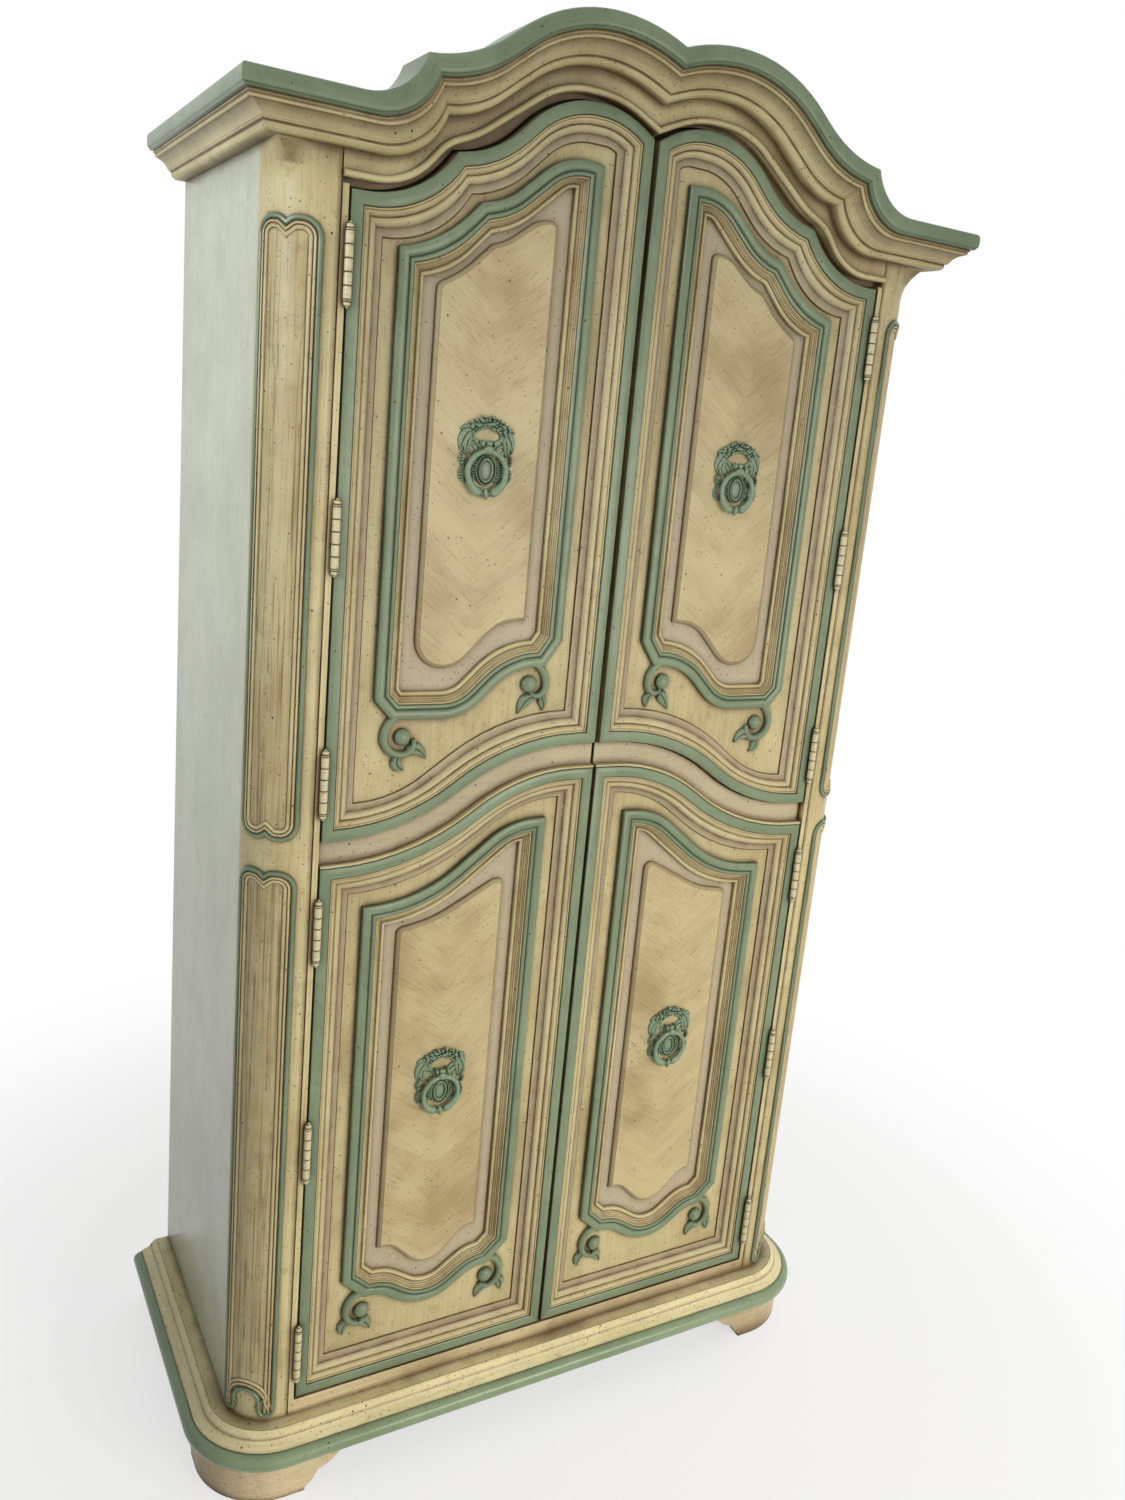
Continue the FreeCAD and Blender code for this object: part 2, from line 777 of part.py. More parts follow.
def lower_outline(end, drop):
    top = inset(seam_curve(end), drop, False)
    return [(end, DOOR, 0), (HALF_BAY, DOOR, 0)] + top


def upper_moulding():
    foot = [(69.6, 278, 0), (95, 240.5, 0), (148, 238, 98), (218, 166.5, 82), (326.5, 167, 0),
            (351.9, 195, 0)]
    head = [(351.9, -54.6, 0), (296.5, -42, 175), (243.5, 15, 0), (208.5, 24, 96), (128.5, 96, 96),
            (69.6, 91, 0)]
    return drawn(SEAM, foot) + drawn(HEAD, head)


def about_middle(corners):
    """The foot of a lower outline: both halves, about the middle of the door."""
    right = drawn(DOOR, corners)
    left = [(-x, z, radius) for x, z, radius in reversed(right[1:])]
    return shifted(left + right, MIDDLE, 0)


def lower_moulding():
    foot = about_middle([(0, 81.5, 80), (79, 136.5, 50), (104, 136.5, 0), (141.15, 172, 0)])
    return foot + drawn(RIM, [(351.9, -69, 0), (263.5, -64, 200), (132, 43, 120), (69.6, 46, 0)])


def upper_panel():
    foot = [(126.5, 306, 0), (170, 302, 60), (231.5, 237, 50), (295, 237, 42)]
    head = [(295, -90, 12), (261.5, -72, 150), (221.5, -31.5, 0), (199.5, -24, 80), (153.5, 12, 60),
            (126.5, 10, 12)]
    return drawn(SEAM, foot) + drawn(HEAD, head)


def lower_panel():
    foot = about_middle([(0, 148, 42), (63, 212, 30), (84.25, 212, 0)])
    return foot + drawn(RIM, [(295, -113, 12), (239.5, -103, 150), (143.5, -50, 20), (126.5, -50, 12)])


def scroll_eyes(level):
    if level == "upper":
        return drawn(SEAM, [(307, 144, 0), (111, 216, 0)])
    return drawn(DOOR, [(314.75, 116, 0), (106.75, 116, 0)])


def eased_slab(outline, y_from, y_to):
    """A slab whose front arris is eased all round."""
    ease = size("arris")
    return stepped_loft([(inset(outline, ease), y_from), (outline, y_from + ease), (outline, y_to)])


def door_frame(level):
    thick = size("door_thick")
    depth = size("field_depth")
    end = size(level + "_meeting_gap") / 2
    if level == "upper":
        rim = upper_outline(end)
        frame = eased_slab(rim, FACE, FACE + thick)
    else:
        drop = size("seam_gap")
        ledge = drop + size("lip_height")
        shelf = thick - size("lip_thick")
        rim = lower_outline(end, ledge)
        lip = prism(lower_outline(end, drop), FACE + shelf, FACE + thick)
        frame = eased_slab(rim, FACE, FACE + shelf).fuse(lip)
        rim = lower_outline(end, SEAM - RIM)
    inner = inset(rim, size("rim_width"))
    recess = stepped_loft([(inner, FACE), (inset(inner, size("slope_width")), FACE + depth)])
    frame = frame.cut(recess)
    return frame.cut(prism(opening(level), FACE + depth, FACE + thick))


def opening(level):
    moulding = upper_moulding() if level == "upper" else lower_moulding()
    return inset(moulding, size("bolection_cover"))


def door_panel(level):
    """A flat panel loose in the frame with a raised middle level with the frame's field."""
    channel = FACE + size("channel_depth")
    raised = upper_panel() if level == "upper" else lower_panel()
    plate = prism(inset(opening(level), size("panel_play")), channel, channel + size("panel_thick"))
    return plate.fuse(prism(raised, FACE + size("field_depth"), channel))


def door_moulding(level):
    """The bolection moulding: laps the frame outside and runs down to the panel inside."""
    outer = upper_moulding() if level == "upper" else lower_moulding()
    top = FACE + size("bolection_depth")
    field = FACE + size("field_depth")
    channel = FACE + size("channel_depth")
    bead = inset(outer, size("bolection_width"))
    foot = inset(bead, size("cove_width"))
    body = prism(outer, top, field).fuse(prism(inset(opening(level), size("panel_play")), field, channel))
    ring = body.cut(stepped_loft([(bead, top), (foot, channel)]))
    back = FreeCAD.Vector(0, 1, 0)
    sunk = top + size("scroll_sink")
    proud = top - size("eye_proud")
    scroll = size("scroll_radius") * UNIT
    for x, z, radius in scroll_eyes(level):
        disc = Part.makeCylinder(scroll, field - sunk, FreeCAD.Vector(x, sunk, z), back)
        eye = Part.makeCylinder(size("eye_radius"), field - proud, FreeCAD.Vector(x, proud, z), back)
        ring = ring.fuse(disc).fuse(eye)
    return ring


def strike(level):
    """A steel disc screwed to the back of the door where it meets its magnet."""
    at = FreeCAD.Vector(size("magnet_from_centre"), FACE + size("door_thick"), magnet_height(level))
    return Part.makeCylinder(size("strike_radius"), size("strike_thick"), at, FreeCAD.Vector(0, 1, 0))


# ---------------------------------------------------------------- hinges

def hinge_heights(level):
    if level == "upper":
        top = HEAD - size("hinge_from_head")
        low = SEAM + size("hinge_above_seam")
    else:
        top = SEAM - size("hinge_below_seam")
        low = DOOR + size("hinge_from_floor")
    return top, (top + low) / 2, low


def hinge_leaf(z, own, wall_side):
    """A leaf with its knuckles. own picks the knuckles; wall_side puts it on the post or door."""
    axis_x = size("hinge_x")
    axis_y = size("hinge_y")
    length = size("barrel_length")
    gap = size("knuckle_gap")
    knuckle = (length - 4 * gap) / 5
    low = z - length / 2
    thick = size("leaf_thick")
    x = size("post_x") - thick if wall_side else HALF_BAY
    relief = FACE + size("leaf_relief")
    leaf = Part.makeBox(thick, size("leaf_width"), length, FreeCAD.Vector(x, relief, low))
    bore = Part.makeCylinder(size("pin_radius") + size("pin_play"), length, FreeCAD.Vector(axis_x, axis_y, low))
    for index in own:
        start = low + index * (knuckle + gap)
        barrel = Part.makeCylinder(size("barrel_radius"), knuckle, FreeCAD.Vector(axis_x, axis_y, start))
        web = Part.makeBox(thick, relief - axis_y, knuckle, FreeCAD.Vector(x, axis_y, start))
        leaf = leaf.fuse(barrel).fuse(web)
    return leaf.cut(bore)


def hinge_pin(z):
    """A pin with a collar and a ball finial at each end of the barrel."""
    length = size("barrel_length")
    radius = size("barrel_radius")
    collar = size("finial_collar")
    ball = size("finial_radius")
    gap = size("knuckle_gap")
    at = FreeCAD.Vector(size("hinge_x"), size("hinge_y"), z)
    pin = Part.makeCylinder(size("pin_radius"), length + 2 * gap, at - FreeCAD.Vector(0, 0, length / 2 + gap))
    for side in (-1, 1):
        face = at + FreeCAD.Vector(0, 0, side * (length / 2 + gap))
        ring = Part.makeCylinder(radius, collar, face, FreeCAD.Vector(0, 0, side))
        knob = Part.makeSphere(ball, face + FreeCAD.Vector(0, 0, side * (collar + 0.8 * ball)))
        pin = pin.fuse(ring).fuse(knob)
    return pin


# ---------------------------------------------------------------- ring pulls

def pull_pivot(level):
    """Middle of the ring's hinge pin: on the raised panel, standing off the plate."""
    z = SEAM + size("pull_above_seam") if level == "upper" else DOOR + size("pull_above_floor")
    y = FACE + size("field_depth") - size("pull_plate_thick") - size("pull_stand_off")
    return FreeCAD.Vector(MIDDLE, y, z)


def pull_plate(level):
    """A pierced wreath plate with two ears for the pin and an oval rosette inside the ring."""
    at = pull_pivot(level)
    back = FACE + size("field_depth")
    thick = size("pull_plate_thick")
    wreath = [(-30, -46, 8), (-14, -54, 8), (14, -54, 8), (30, -46, 8), (40, -8, 10), (40, 8, 6),
              (30, 12, 10), (16, 31, 12), (-16, 31, 12), (-30, 12, 10), (-40, 8, 6), (-40, -8, 10)]
    window = [(-16, 8, 3), (0, 6, 3), (16, 8, 3), (10, 16, 3), (-10, 16, 3)]
    plate = prism(shifted(wreath, at.x, at.z), back - thick, back)
    plate = plate.cut(prism(shifted(window, at.x, at.z), back - thick, back))
    boss = Part.makeCylinder(size("rosette_height") / 2, size("rosette_proud"),
                             FreeCAD.Vector(0, back - thick - size("rosette_proud"), 0),
                             FreeCAD.Vector(0, 1, 0))
    narrow = FreeCAD.Matrix()
    narrow.scale(size("rosette_width") / size("rosette_height"), 1, 1)
    boss = boss.transformGeometry(narrow)
    boss.translate(FreeCAD.Vector(at.x, 0, at.z - size("pull_drop") - size("pull_ring_radius")))
    plate = plate.fuse(boss)
    ear = size("pull_ear")
    start = size("pull_knuckle") / 2 + size("pull_ear_gap")
    radius = size("pull_knuckle_radius")
    for side in (-1, 1):
        lug = Part.makeCylinder(radius, ear, at + FreeCAD.Vector(side * start, 0, 0), FreeCAD.Vector(side, 0, 0))
        x = at.x + start if side > 0 else at.x - start - ear
        foot = Part.makeBox(ear, back - thick - at.y, 2 * radius, FreeCAD.Vector(x, at.y, at.z - radius))
        plate = plate.fuse(lug).fuse(foot)
    pin = Part.makeCylinder(size("pull_pin_radius"), 2 * start, at - FreeCAD.Vector(start, 0, 0),
                            FreeCAD.Vector(1, 0, 0))
    return plate.fuse(pin)


def pull_ring(level):
    """The ring hangs from a short knuckle that turns on the pin between the ears."""
    at = pull_pivot(level)
    wire = size("pull_wire_radius")
    drop = size("pull_drop")
    centre = at - FreeCAD.Vector(0, 0, drop + size("pull_ring_radius"))
    ring = Part.makeTorus(size("pull_ring_radius"), wire, centre, FreeCAD.Vector(0, 1, 0))
    length = size("pull_knuckle")
    start = at - FreeCAD.Vector(length / 2, 0, 0)
    along = FreeCAD.Vector(1, 0, 0)
    knuckle = Part.makeCylinder(size("pull_knuckle_radius"), length, start, along)
    bore = Part.makeCylinder(size("pull_pin_radius") + size("pull_pin_play"), length, start, along)
    link = Part.makeBox(length, wire, drop, FreeCAD.Vector(start.x, at.y - wire / 2, at.z - drop))
    return ring.fuse(knuckle).fuse(link).cut(bore)


# ---------------------------------------------------------------- doors hung in place

def build_doors():
    for level in ("upper", "lower"):
        pieces = {"frame": door_frame(level), "panel": door_panel(level), "moulding": door_moulding(level),
                  "hinge_leaves": Part.Compound([hinge_leaf(z, (1, 3), False) for z in hinge_heights(level)]),
                  "pull_plate": pull_plate(level), "pull_ring": pull_ring(level), "strike": strike(level)}
        for part_name, shape in pieces.items():
            shaped("%s_door_right_%s" % (level, part_name), shape)
            shaped("%s_door_left_%s" % (level, part_name),
                   shape.mirror(FreeCAD.Vector(), FreeCAD.Vector(1, 0, 0)))


def build_fixed_hardware():
    heights = hinge_heights("upper") + hinge_heights("lower")
    leaves = [hinge_leaf(z, (0, 2, 4), True) for z in heights]
    pins = [hinge_pin(z) for z in heights]
    for name, solids in (("hinge_leaves_fixed", leaves), ("hinge_pins", pins)):
        mirror = [solid.mirror(FreeCAD.Vector(), FreeCAD.Vector(1, 0, 0)) for solid in solids]
        shaped(name, Part.Compound(solids + mirror))


build_doors()
build_fixed_hardware()


# ---------------------------------------------------------------- check and write

def write_parts():
    doc.recompute()
    for item in doc.Objects:
        assert "Invalid" not in item.State and "Error" not in item.State, item.Label + " failed"
    for item in pieces:
        assert not item.Shape.isNull() and item.Shape.isValid(), item.Label + " has no valid shape"
    os.makedirs("parts", exist_ok=True)
    for item in pieces:
        item.Shape.exportStep("parts/%s.step" % item.Label)
    print(len(pieces), "pieces written")


write_parts()
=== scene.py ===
import math
import random

import bmesh
import bpy
from mathutils import Matrix, Vector


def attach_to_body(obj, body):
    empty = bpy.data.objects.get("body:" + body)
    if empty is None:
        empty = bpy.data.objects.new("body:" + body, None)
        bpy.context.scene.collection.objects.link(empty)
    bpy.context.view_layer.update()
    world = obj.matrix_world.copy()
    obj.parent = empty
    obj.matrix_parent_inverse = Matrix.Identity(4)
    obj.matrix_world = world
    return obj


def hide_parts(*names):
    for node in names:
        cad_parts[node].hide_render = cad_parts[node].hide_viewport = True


# A television armoire in antiqued cream with sage mouldings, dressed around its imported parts.
# Lengths are in millimetres until a mesh is written; X runs across, Y front to back, Z up.

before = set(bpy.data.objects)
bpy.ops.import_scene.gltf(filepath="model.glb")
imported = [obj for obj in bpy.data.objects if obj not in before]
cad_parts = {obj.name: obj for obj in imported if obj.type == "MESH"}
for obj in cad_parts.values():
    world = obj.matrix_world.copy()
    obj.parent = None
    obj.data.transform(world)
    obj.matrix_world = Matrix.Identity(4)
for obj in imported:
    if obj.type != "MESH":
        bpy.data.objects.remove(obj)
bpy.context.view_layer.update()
mm = 0.001

armoire = {
    "face": -219.5, "back": 278.5, "halfBody": 513.5, "halfBay": 421.5, "corner": 73, "doorFoot": 139,
    "seam": 1043.5, "head": 1881, "shoulder": 1981, "notch": 2121, "plinth": 92, "capUnder": 1957,
    "pilasterX": 432.5, "rimDrop": 39.5,
}
face, back = armoire["face"], armoire["back"]
halfBody, halfBay = armoire["halfBody"], armoire["halfBay"]
doorFoot, seam, head = armoire["doorFoot"], armoire["seam"], armoire["head"]
middle = halfBay / 2  # of a door
rimTop = seam - armoire["rimDrop"]  # top of the green rim of a lower door

finish = {
    "creamLight": "#cdc193", "creamDeep": "#b6a677", "brown": "#604b2e", "pinkGrey": "#b1a68f",
    "speck": "#3f301d", "sageDeep": "#6d7c60", "sageShade": "#3f4a36",
}

# small helpers; nodes go into the tree that was started last


def linear(hexColour):
    # sRGB hex to the linear values that a shader takes
    parts = [int(hexColour[i:i + 2], 16) / 255 for i in (1, 3, 5)]
    return [p / 12.92 if p <= 0.04045 else ((p + 0.055) / 1.055) ** 2.4 for p in parts] + [1.0]


def polar(radius, degrees, x=0, y=0):
    # a point on a circle about (x, y)
    angle = math.radians(degrees)
    return x + radius * math.cos(angle), y + radius * math.sin(angle)


def node(kind, inputs, **choices):
    # adds a node; an input takes a value, a hex colour, a node's first output or another socket
    made = tree.nodes.new("ShaderNode" + kind)
    for key, value in choices.items():
        setattr(made, key, value)
    for key, value in inputs.items():
        if isinstance(value, bpy.types.Node):
            value = value.outputs[0]
        if isinstance(value, bpy.types.NodeSocket):
            tree.links.new(value, made.inputs[key])
        else:
            made.inputs[key].default_value = linear(value) if isinstance(value, str) else value
    return made


smooth = {"interpolation_type": "SMOOTHSTEP"}  # map range inputs: value, from low, high, to low, high


def creviceGlazeAndShade(reach, low, high):
    # 1 in narrow hollows and corners, found by ambient occlusion: where the brown glaze stays and painted
    # shade falls; 0 on open faces; reach in mm
    opened = node("AmbientOcclusion", {"Distance": reach * mm}, samples=6).outputs["AO"]
    return node("MapRange", {0: opened, 1: low, 2: high, 3: 1, 4: 0}, **smooth)


# specks and worm holes, a little coarser than life so that they show:
# (spacing, radius, share of cells, seed, strength)
specks = [(5, 0.85, 0.5, 3.1, 0.7), (9, 1.25, 0.5, 8.7, 0.85), (21, 1.7, 0.4, 5.3, 1)]


def spatter(space, amount):
    # round dark spots: one cell in so many holds one, and the strongest shows
    spots = 0
    for spacing, radius, share, seed, strength in specks:
        moved = node("VectorMath", {0: space, 1: (seed, seed, seed)}, operation="ADD")
        cells = node("TexVoronoi", {"Scale": 1000 / spacing, "Vector": moved}).outputs
        inside = node("MapRange", {0: cells["Distance"], 1: 0.75 * radius / spacing, 2: radius / spacing,
                                   3: strength, 4: 0}, **smooth)
        chance = node("SeparateColor", {"Color": cells["Color"]})
        chosen = node("Math", {0: chance, 1: share * amount}, operation="LESS_THAN")
        spot = node("Math", {0: inside, 1: chosen}, operation="MULTIPLY")
        spots = node("Math", {0: spots, 1: spot}, operation="MAXIMUM")
    return spots


def startTree(owner):
    global tree
    owner.use_nodes = True
    tree = owner.node_tree
    tree.nodes.clear()
    return owner


def coat(base, layers, rough, height, strength, depth, specular=0.5, metallic=0.0):
    # closes a material: layers of (amount, colour) on its base, its sheen and a fine relief in mm
    for amount, colour in layers:
        base = node("Mix", {0: amount, 6: base, 7: colour}, data_type="RGBA").outputs[2]
    bump = node("Bump", {"Strength": strength, "Distance": depth * mm, "Height": height})
    shader = node("BsdfPrincipled", {
        "Base Color": base, "Roughness": rough, "Specular IOR Level": specular, "Metallic": metallic,
        "Normal": bump})
    node("OutputMaterial", {"Surface": shader})


# the finishes

# how strong each stain and the painted shade in hollows gets, and the stretch of brush marks along a run
antiquing = {
    "brush": 0.34, "streak": 0.26, "patch": 0.32, "pore": 0.75, "hollow": 0.85, "wide": 0.36,
    "cloud": 0.75, "fine": 0.55, "open": 0.6, "rubbed": 0.3, "mottle": 0.4, "figure": 0.6,
    "boardPore": 0.4, "runGrain": (8, 460, 460), "veneerAngle": 38,
}


def vertexGlazeShadeAndWash():
    # what the vertices carry: brown glaze left in a hollow together with painted shade along quirks, gaps and
    # joins, and a pink-grey wash
    return [node("Attribute", {}, attribute_name=name).outputs["Fac"] for name in ("glazeAndShade", "wash")]


def antiquedPaint(name, light=finish["creamLight"], deep=finish["creamDeep"], recess=finish["brown"],
                  wash=finish["pinkGrey"], grain=None, rough=0.44, specking=1.0, glazeAndShadeAmount=1.0, grained=1.0):
    # brushed lacquer, glazed brown by hand and spattered; low sheen, darker in every quirk, partly brown
    # glaze and partly painted shade;
    # its brush marks follow the run of a moulding unless a grain for a board is given
    material = startTree(bpy.data.materials.new(name))
    if grain:
        space = node("TexCoord", {}).outputs["Object"]
    else:
        space, grain = node("UVMap", {}, uv_map="run"), antiquing["runGrain"]
    along = node("Mapping", {"Scale": grain, "Vector": space})
    longer = node("Mapping", {"Scale": [g * (0.3 if g > 50 else 0.6) for g in grain], "Vector": space})
    cloud = node("TexNoise", {"Vector": space, "Scale": 7, "Detail": 4, "Roughness": 0.6})
    brush = node("TexNoise", {"Vector": along, "Scale": 1, "Detail": 3, "Roughness": 0.55})
    streak = node("TexNoise", {"Vector": longer, "Scale": 1, "Detail": 4, "Roughness": 0.6,
                               "Distortion": 0.3})
    patch = node("TexNoise", {"Vector": space, "Scale": 34, "Detail": 5, "Roughness": 0.65})
    age = node("TexNoise", {"Vector": space, "Scale": 3.3, "Detail": 3})
    glazeAndShade, washed = vertexGlazeShadeAndWash()
    # painted shade with the glaze: hollows found by occlusion and by the vertex marks, darkened unevenly
    hollow = node("Math", {0: creviceGlazeAndShade(11, 0.55, 0.98), 1: antiquing["hollow"]}, operation="MULTIPLY")
    hollow = node("Math", {0: glazeAndShade, 1: hollow}, operation="MAXIMUM")
    uneven = node("MapRange", {0: patch, 1: 0.25, 2: 0.7, 3: 0.75, 4: 1.15}, **smooth)
    uneven = node("Math", {0: hollow, 1: uneven}, operation="MULTIPLY", use_clamp=True)
    aged = node("MapRange", {0: age, 1: 0.42, 2: 0.64}, **smooth)
    layers = [
        (node("MapRange", {0: cloud, 1: 0.3, 2: 0.7}, **smooth), deep),
        (node("MapRange", {0: brush, 1: 0.5, 2: 0.72, 4: antiquing["brush"] * grained}, **smooth), recess),
        (node("MapRange", {0: streak, 1: 0.5, 2: 0.78, 4: antiquing["streak"] * grained}, **smooth), recess),
        (node("MapRange", {0: patch, 1: 0.54, 2: 0.78, 4: antiquing["patch"]}, **smooth), recess),
        # random aged stain laid only within 45 mm of hollows and mouldings found by occlusion: partly stain,
        # partly painted shade
        (node("Math", {0: aged, 1: creviceGlazeAndShade(45, 0.5, 0.99)}, operation="MULTIPLY"), recess),
        (washed, wash),
        (node("Math", {0: uneven, 1: glazeAndShadeAmount}, operation="MULTIPLY"), recess)]
    if grained > 1:
        # open oak pores that took the stain
        finer = node("Mapping", {"Scale": [g * 0.8 for g in grain], "Vector": space})
        pores = node("TexNoise", {"Vector": finer, "Scale": 1, "Detail": 3, "Roughness": 0.6,
                                  "Distortion": 0.5})
        filled = node("MapRange", {0: pores, 1: 0.55, 2: 0.66, 4: antiquing["pore"]}, **smooth)
        where = node("MapRange", {0: patch, 1: 0.35, 2: 0.6}, **smooth)
        layers.append((node("Math", {0: filled, 1: where}, operation="MULTIPLY"), recess))
    spots = spatter(space, specking)
    layers.append((spots, finish["speck"]))
    relief = node("Math", {0: brush, 1: 0.5}, operation="MULTIPLY")
    coat(light, layers, rough, node("Math", {0: relief, 1: spots}, operation="SUBTRACT"), 0.35, 0.6, 0.3)
    return material


creamMoulding = antiquedPaint("antiqued_cream_moulding", grained=0.7)
creamBoard = antiquedPaint("antiqued_cream_board", grain=(420, 420, 7))
creamRail = antiquedPaint("antiqued_cream_rail", grain=(7, 420, 420))
# the side panels: the same cream, tinted grey-green for the cool window light on them: painted light
creamSidePaintedCoolLight = antiquedPaint("antiqued_cream_side_painted_cool_light", "#c1c5a9", "#afb398", "#77725b", grain=(420, 420, 5),
                          rough=0.25, specking=0.6, grained=0.5)
oakField = antiquedPaint("cream_glazed_oak", recess="#6f5836", grain=(300, 300, 5), specking=0.9, grained=2.3)
sageMoulding = antiquedPaint("sage_moulding", "#7f8e70", finish["sageDeep"], finish["sageShade"],
                             finish["sageDeep"], rough=0.3, specking=0.6, grained=0.6)
# the base: a paler cream, painted light for the light that falls on its upward faces and lower front, and
# more spattered; a lighter, glossier nosing, its lightness a painted highlight; a rosier rail and feet, also
# made paler as painted light
creamBasePaintedLight = antiquedPaint("spattered_cream_base_painted_light", "#f0e4b4", "#e0d3a0", specking=2.0, grained=0.6,
                          glazeAndShadeAmount=0.75)
sageNosingPaintedHighlight = antiquedPaint("sage_nosing_painted_highlight", "#8c9e7d", "#7a8c6b", finish["sageShade"], finish["sageDeep"],
                           rough=0.24, specking=0.5, grained=0.5)
roseRailPaintedLight = antiquedPaint("rose_cream_rail_painted_light", "#d8c6a0", "#c2b089", grain=(7, 420, 420))


def veneer(name):
    # book-matched oak veneer under cream: pale Vs of grain that meet on the panel's middle
    material = startTree(bpy.data.materials.new(name))
    space = node("TexCoord", {}).outputs["Object"]
    parts = node("SeparateXYZ", {0: space}).outputs
    side = node("Math", {0: parts[0]}, operation="ABSOLUTE")
    off = node("Math", {0: side, 1: middle * mm}, operation="SUBTRACT")
    fold = node("Math", {0: off}, operation="ABSOLUTE")
    run, rise = polar(1, antiquing["veneerAngle"])
    raisedBy = node("Math", {0: parts[2], 1: rise}, operation="MULTIPLY")
    alongGrain = node("Math", {0: fold, 1: run, 2: raisedBy}, operation="MULTIPLY_ADD")
    loweredBy = node("Math", {0: fold, 1: -rise}, operation="MULTIPLY")
    acrossGrain = node("Math", {0: parts[2], 1: run, 2: loweredBy}, operation="MULTIPLY_ADD")
    grain = node("CombineXYZ", {0: alongGrain, 1: acrossGrain, 2: parts[0]})
    # broad figure, fine streaks and open pores: (stretch, detail, roughness, distortion)
    wide, fine, pores = (
        node("TexNoise", {"Vector": node("Mapping", {"Scale": stretch, "Vector": grain}), "Scale": 1,
                          "Detail": detail, "Roughness": roughness, "Distortion": bent})
        for stretch, detail, roughness, bent in (
            ((5, 30, 2.5), 3, 0.5, 0.6), ((22, 300, 6), 4, 0.7, 0), ((40, 520, 0), 2, 0.5, 0)))
    worn = node("TexNoise", {"Vector": space, "Scale": 8, "Detail": 4})
    cloud = node("TexNoise", {"Vector": space, "Scale": 4.5, "Detail": 3, "Roughness": 0.6})
    glazeAndShade, washed = vertexGlazeShadeAndWash()
    streaks = node("MapRange", {0: fine, 1: 0.5, 2: 0.7, 4: antiquing["fine"]}, **smooth)
    clouded = node("MapRange", {0: cloud, 1: 0.36, 2: 0.6, 3: 0.15}, **smooth)
    opened = node("MapRange", {0: pores, 1: 0.59, 2: 0.69, 4: antiquing["open"]}, **smooth)
    bare = node("MapRange", {0: worn, 1: 0.46, 2: 0.64}, **smooth)
    spots = spatter(space, 0.65)
    layers = [
        (node("MapRange", {0: wide, 1: 0.4, 2: 0.7, 4: antiquing["wide"]}, **smooth), "#a08c62"),
        (node("MapRange", {0: cloud, 1: 0.42, 2: 0.7, 4: antiquing["cloud"]}, **smooth), "#99835a"),
        (node("Math", {0: streaks, 1: clouded}, operation="MULTIPLY"), "#856f48"),
        (node("Math", {0: opened, 1: bare}, operation="MULTIPLY"), finish["brown"]),
        (node("MapRange", {0: worn, 1: 0.5, 2: 0.75, 4: antiquing["rubbed"]}, **smooth),
         finish["creamLight"]),
        # the glaze marks: brown glaze with painted shade where the panel's edge meets the channel
        (washed, finish["pinkGrey"]), (glazeAndShade, finish["brown"]), (spots, "#4a3a24")]
    coat("#c4b689", layers, 0.42, node("Math", {0: fine, 1: spots}, operation="SUBTRACT"), 0.25, 0.4, 0.35)
    return material


def castPaint(name, light, shade, rough, metallic=0.0):
    # painted casting: the relief is picked out dark in its hollows and rubbed lighter on top; the dark in
    # hollows, gaps and grooves, found by occlusion and by the vertex marks, is partly that paint and partly
    # painted shade
    material = startTree(bpy.data.materials.new(name))
    edge = node("NewGeometry", {}).outputs["Pointiness"]
    ridge = node("MapRange", {0: edge, 1: 0.42, 2: 0.52}, **smooth)
    high = node("Math", {0: 1, 1: creviceGlazeAndShade(6, 0.35, 0.85)}, operation="SUBTRACT")
    mottle = node("TexNoise", {"Vector": node("TexCoord", {}).outputs["Object"], "Scale": 260, "Detail": 4})
    layers = [
        (node("Math", {0: ridge, 1: high}, operation="MULTIPLY"), light),
        (node("MapRange", {0: mottle, 1: 0.5, 2: 0.72, 4: antiquing["mottle"]}, **smooth), shade),
        (vertexGlazeShadeAndWash()[0], shade)]
    coat(shade, layers, rough, mottle, 0.3, 0.5, metallic=metallic)
    return material


def stainedBoard(name, grain):
    # stained inside boards, open grain under a thin brown lacquer
    material = startTree(bpy.data.materials.new(name))
    space = node("TexCoord", {}).outputs["Object"]
    along = node("Mapping", {"Scale": grain, "Vector": space})
    finer = node("Mapping", {"Scale": [g * 9 for g in grain], "Vector": space})
    figure = node("TexNoise", {"Vector": along, "Scale": 1, "Detail": 5, "Roughness": 0.6,
                               "Distortion": 0.4})
    pores = node("TexNoise", {"Vector": finer, "Scale": 1})
    layers = [
        (node("MapRange", {0: figure, 1: 0.35, 2: 0.7, 4: antiquing["figure"]}, **smooth), "#7f6138"),
        (node("MapRange", {0: pores, 1: 0.55, 2: 0.75, 4: antiquing["boardPore"]}, **smooth), "#7f6138")]
    coat("#a98a5c", layers, 0.55, pores, 0.2, 0.4)
    return material


panelVeneer = veneer("chevron_veneer")
castSage = castPaint("verdigris_casting", "#778c6f", "#25311f", 0.42)
hingePaint = castPaint("cream_painted_brass", "#cfc49b", "#4d402a", 0.38)
# bare steel of the magnets, strikes and shelf pins
brightSteel = castPaint("bright_steel", "#b9babb", "#77787a", 0.3, 1.0)
insideAcross = stainedBoard("stained_inside_across", (3, 45, 45))
insideUp = stainedBoard("stained_inside_up", (45, 45, 3))
print("materials made")

# outlines: corners (x, z, radius), straight lines between them and an arc at each


def direction(a, b):
    run = math.hypot(b[0] - a[0], b[1] - a[1])
    return (b[0] - a[0]) / run, (b[1] - a[1]) / run, run


def neighbours(outline, i, closed):
    before = outline[i - 1] if closed or i > 0 else None
    after = outline[(i + 1) % len(outline)] if closed or i < len(outline) - 1 else None
    return before, after


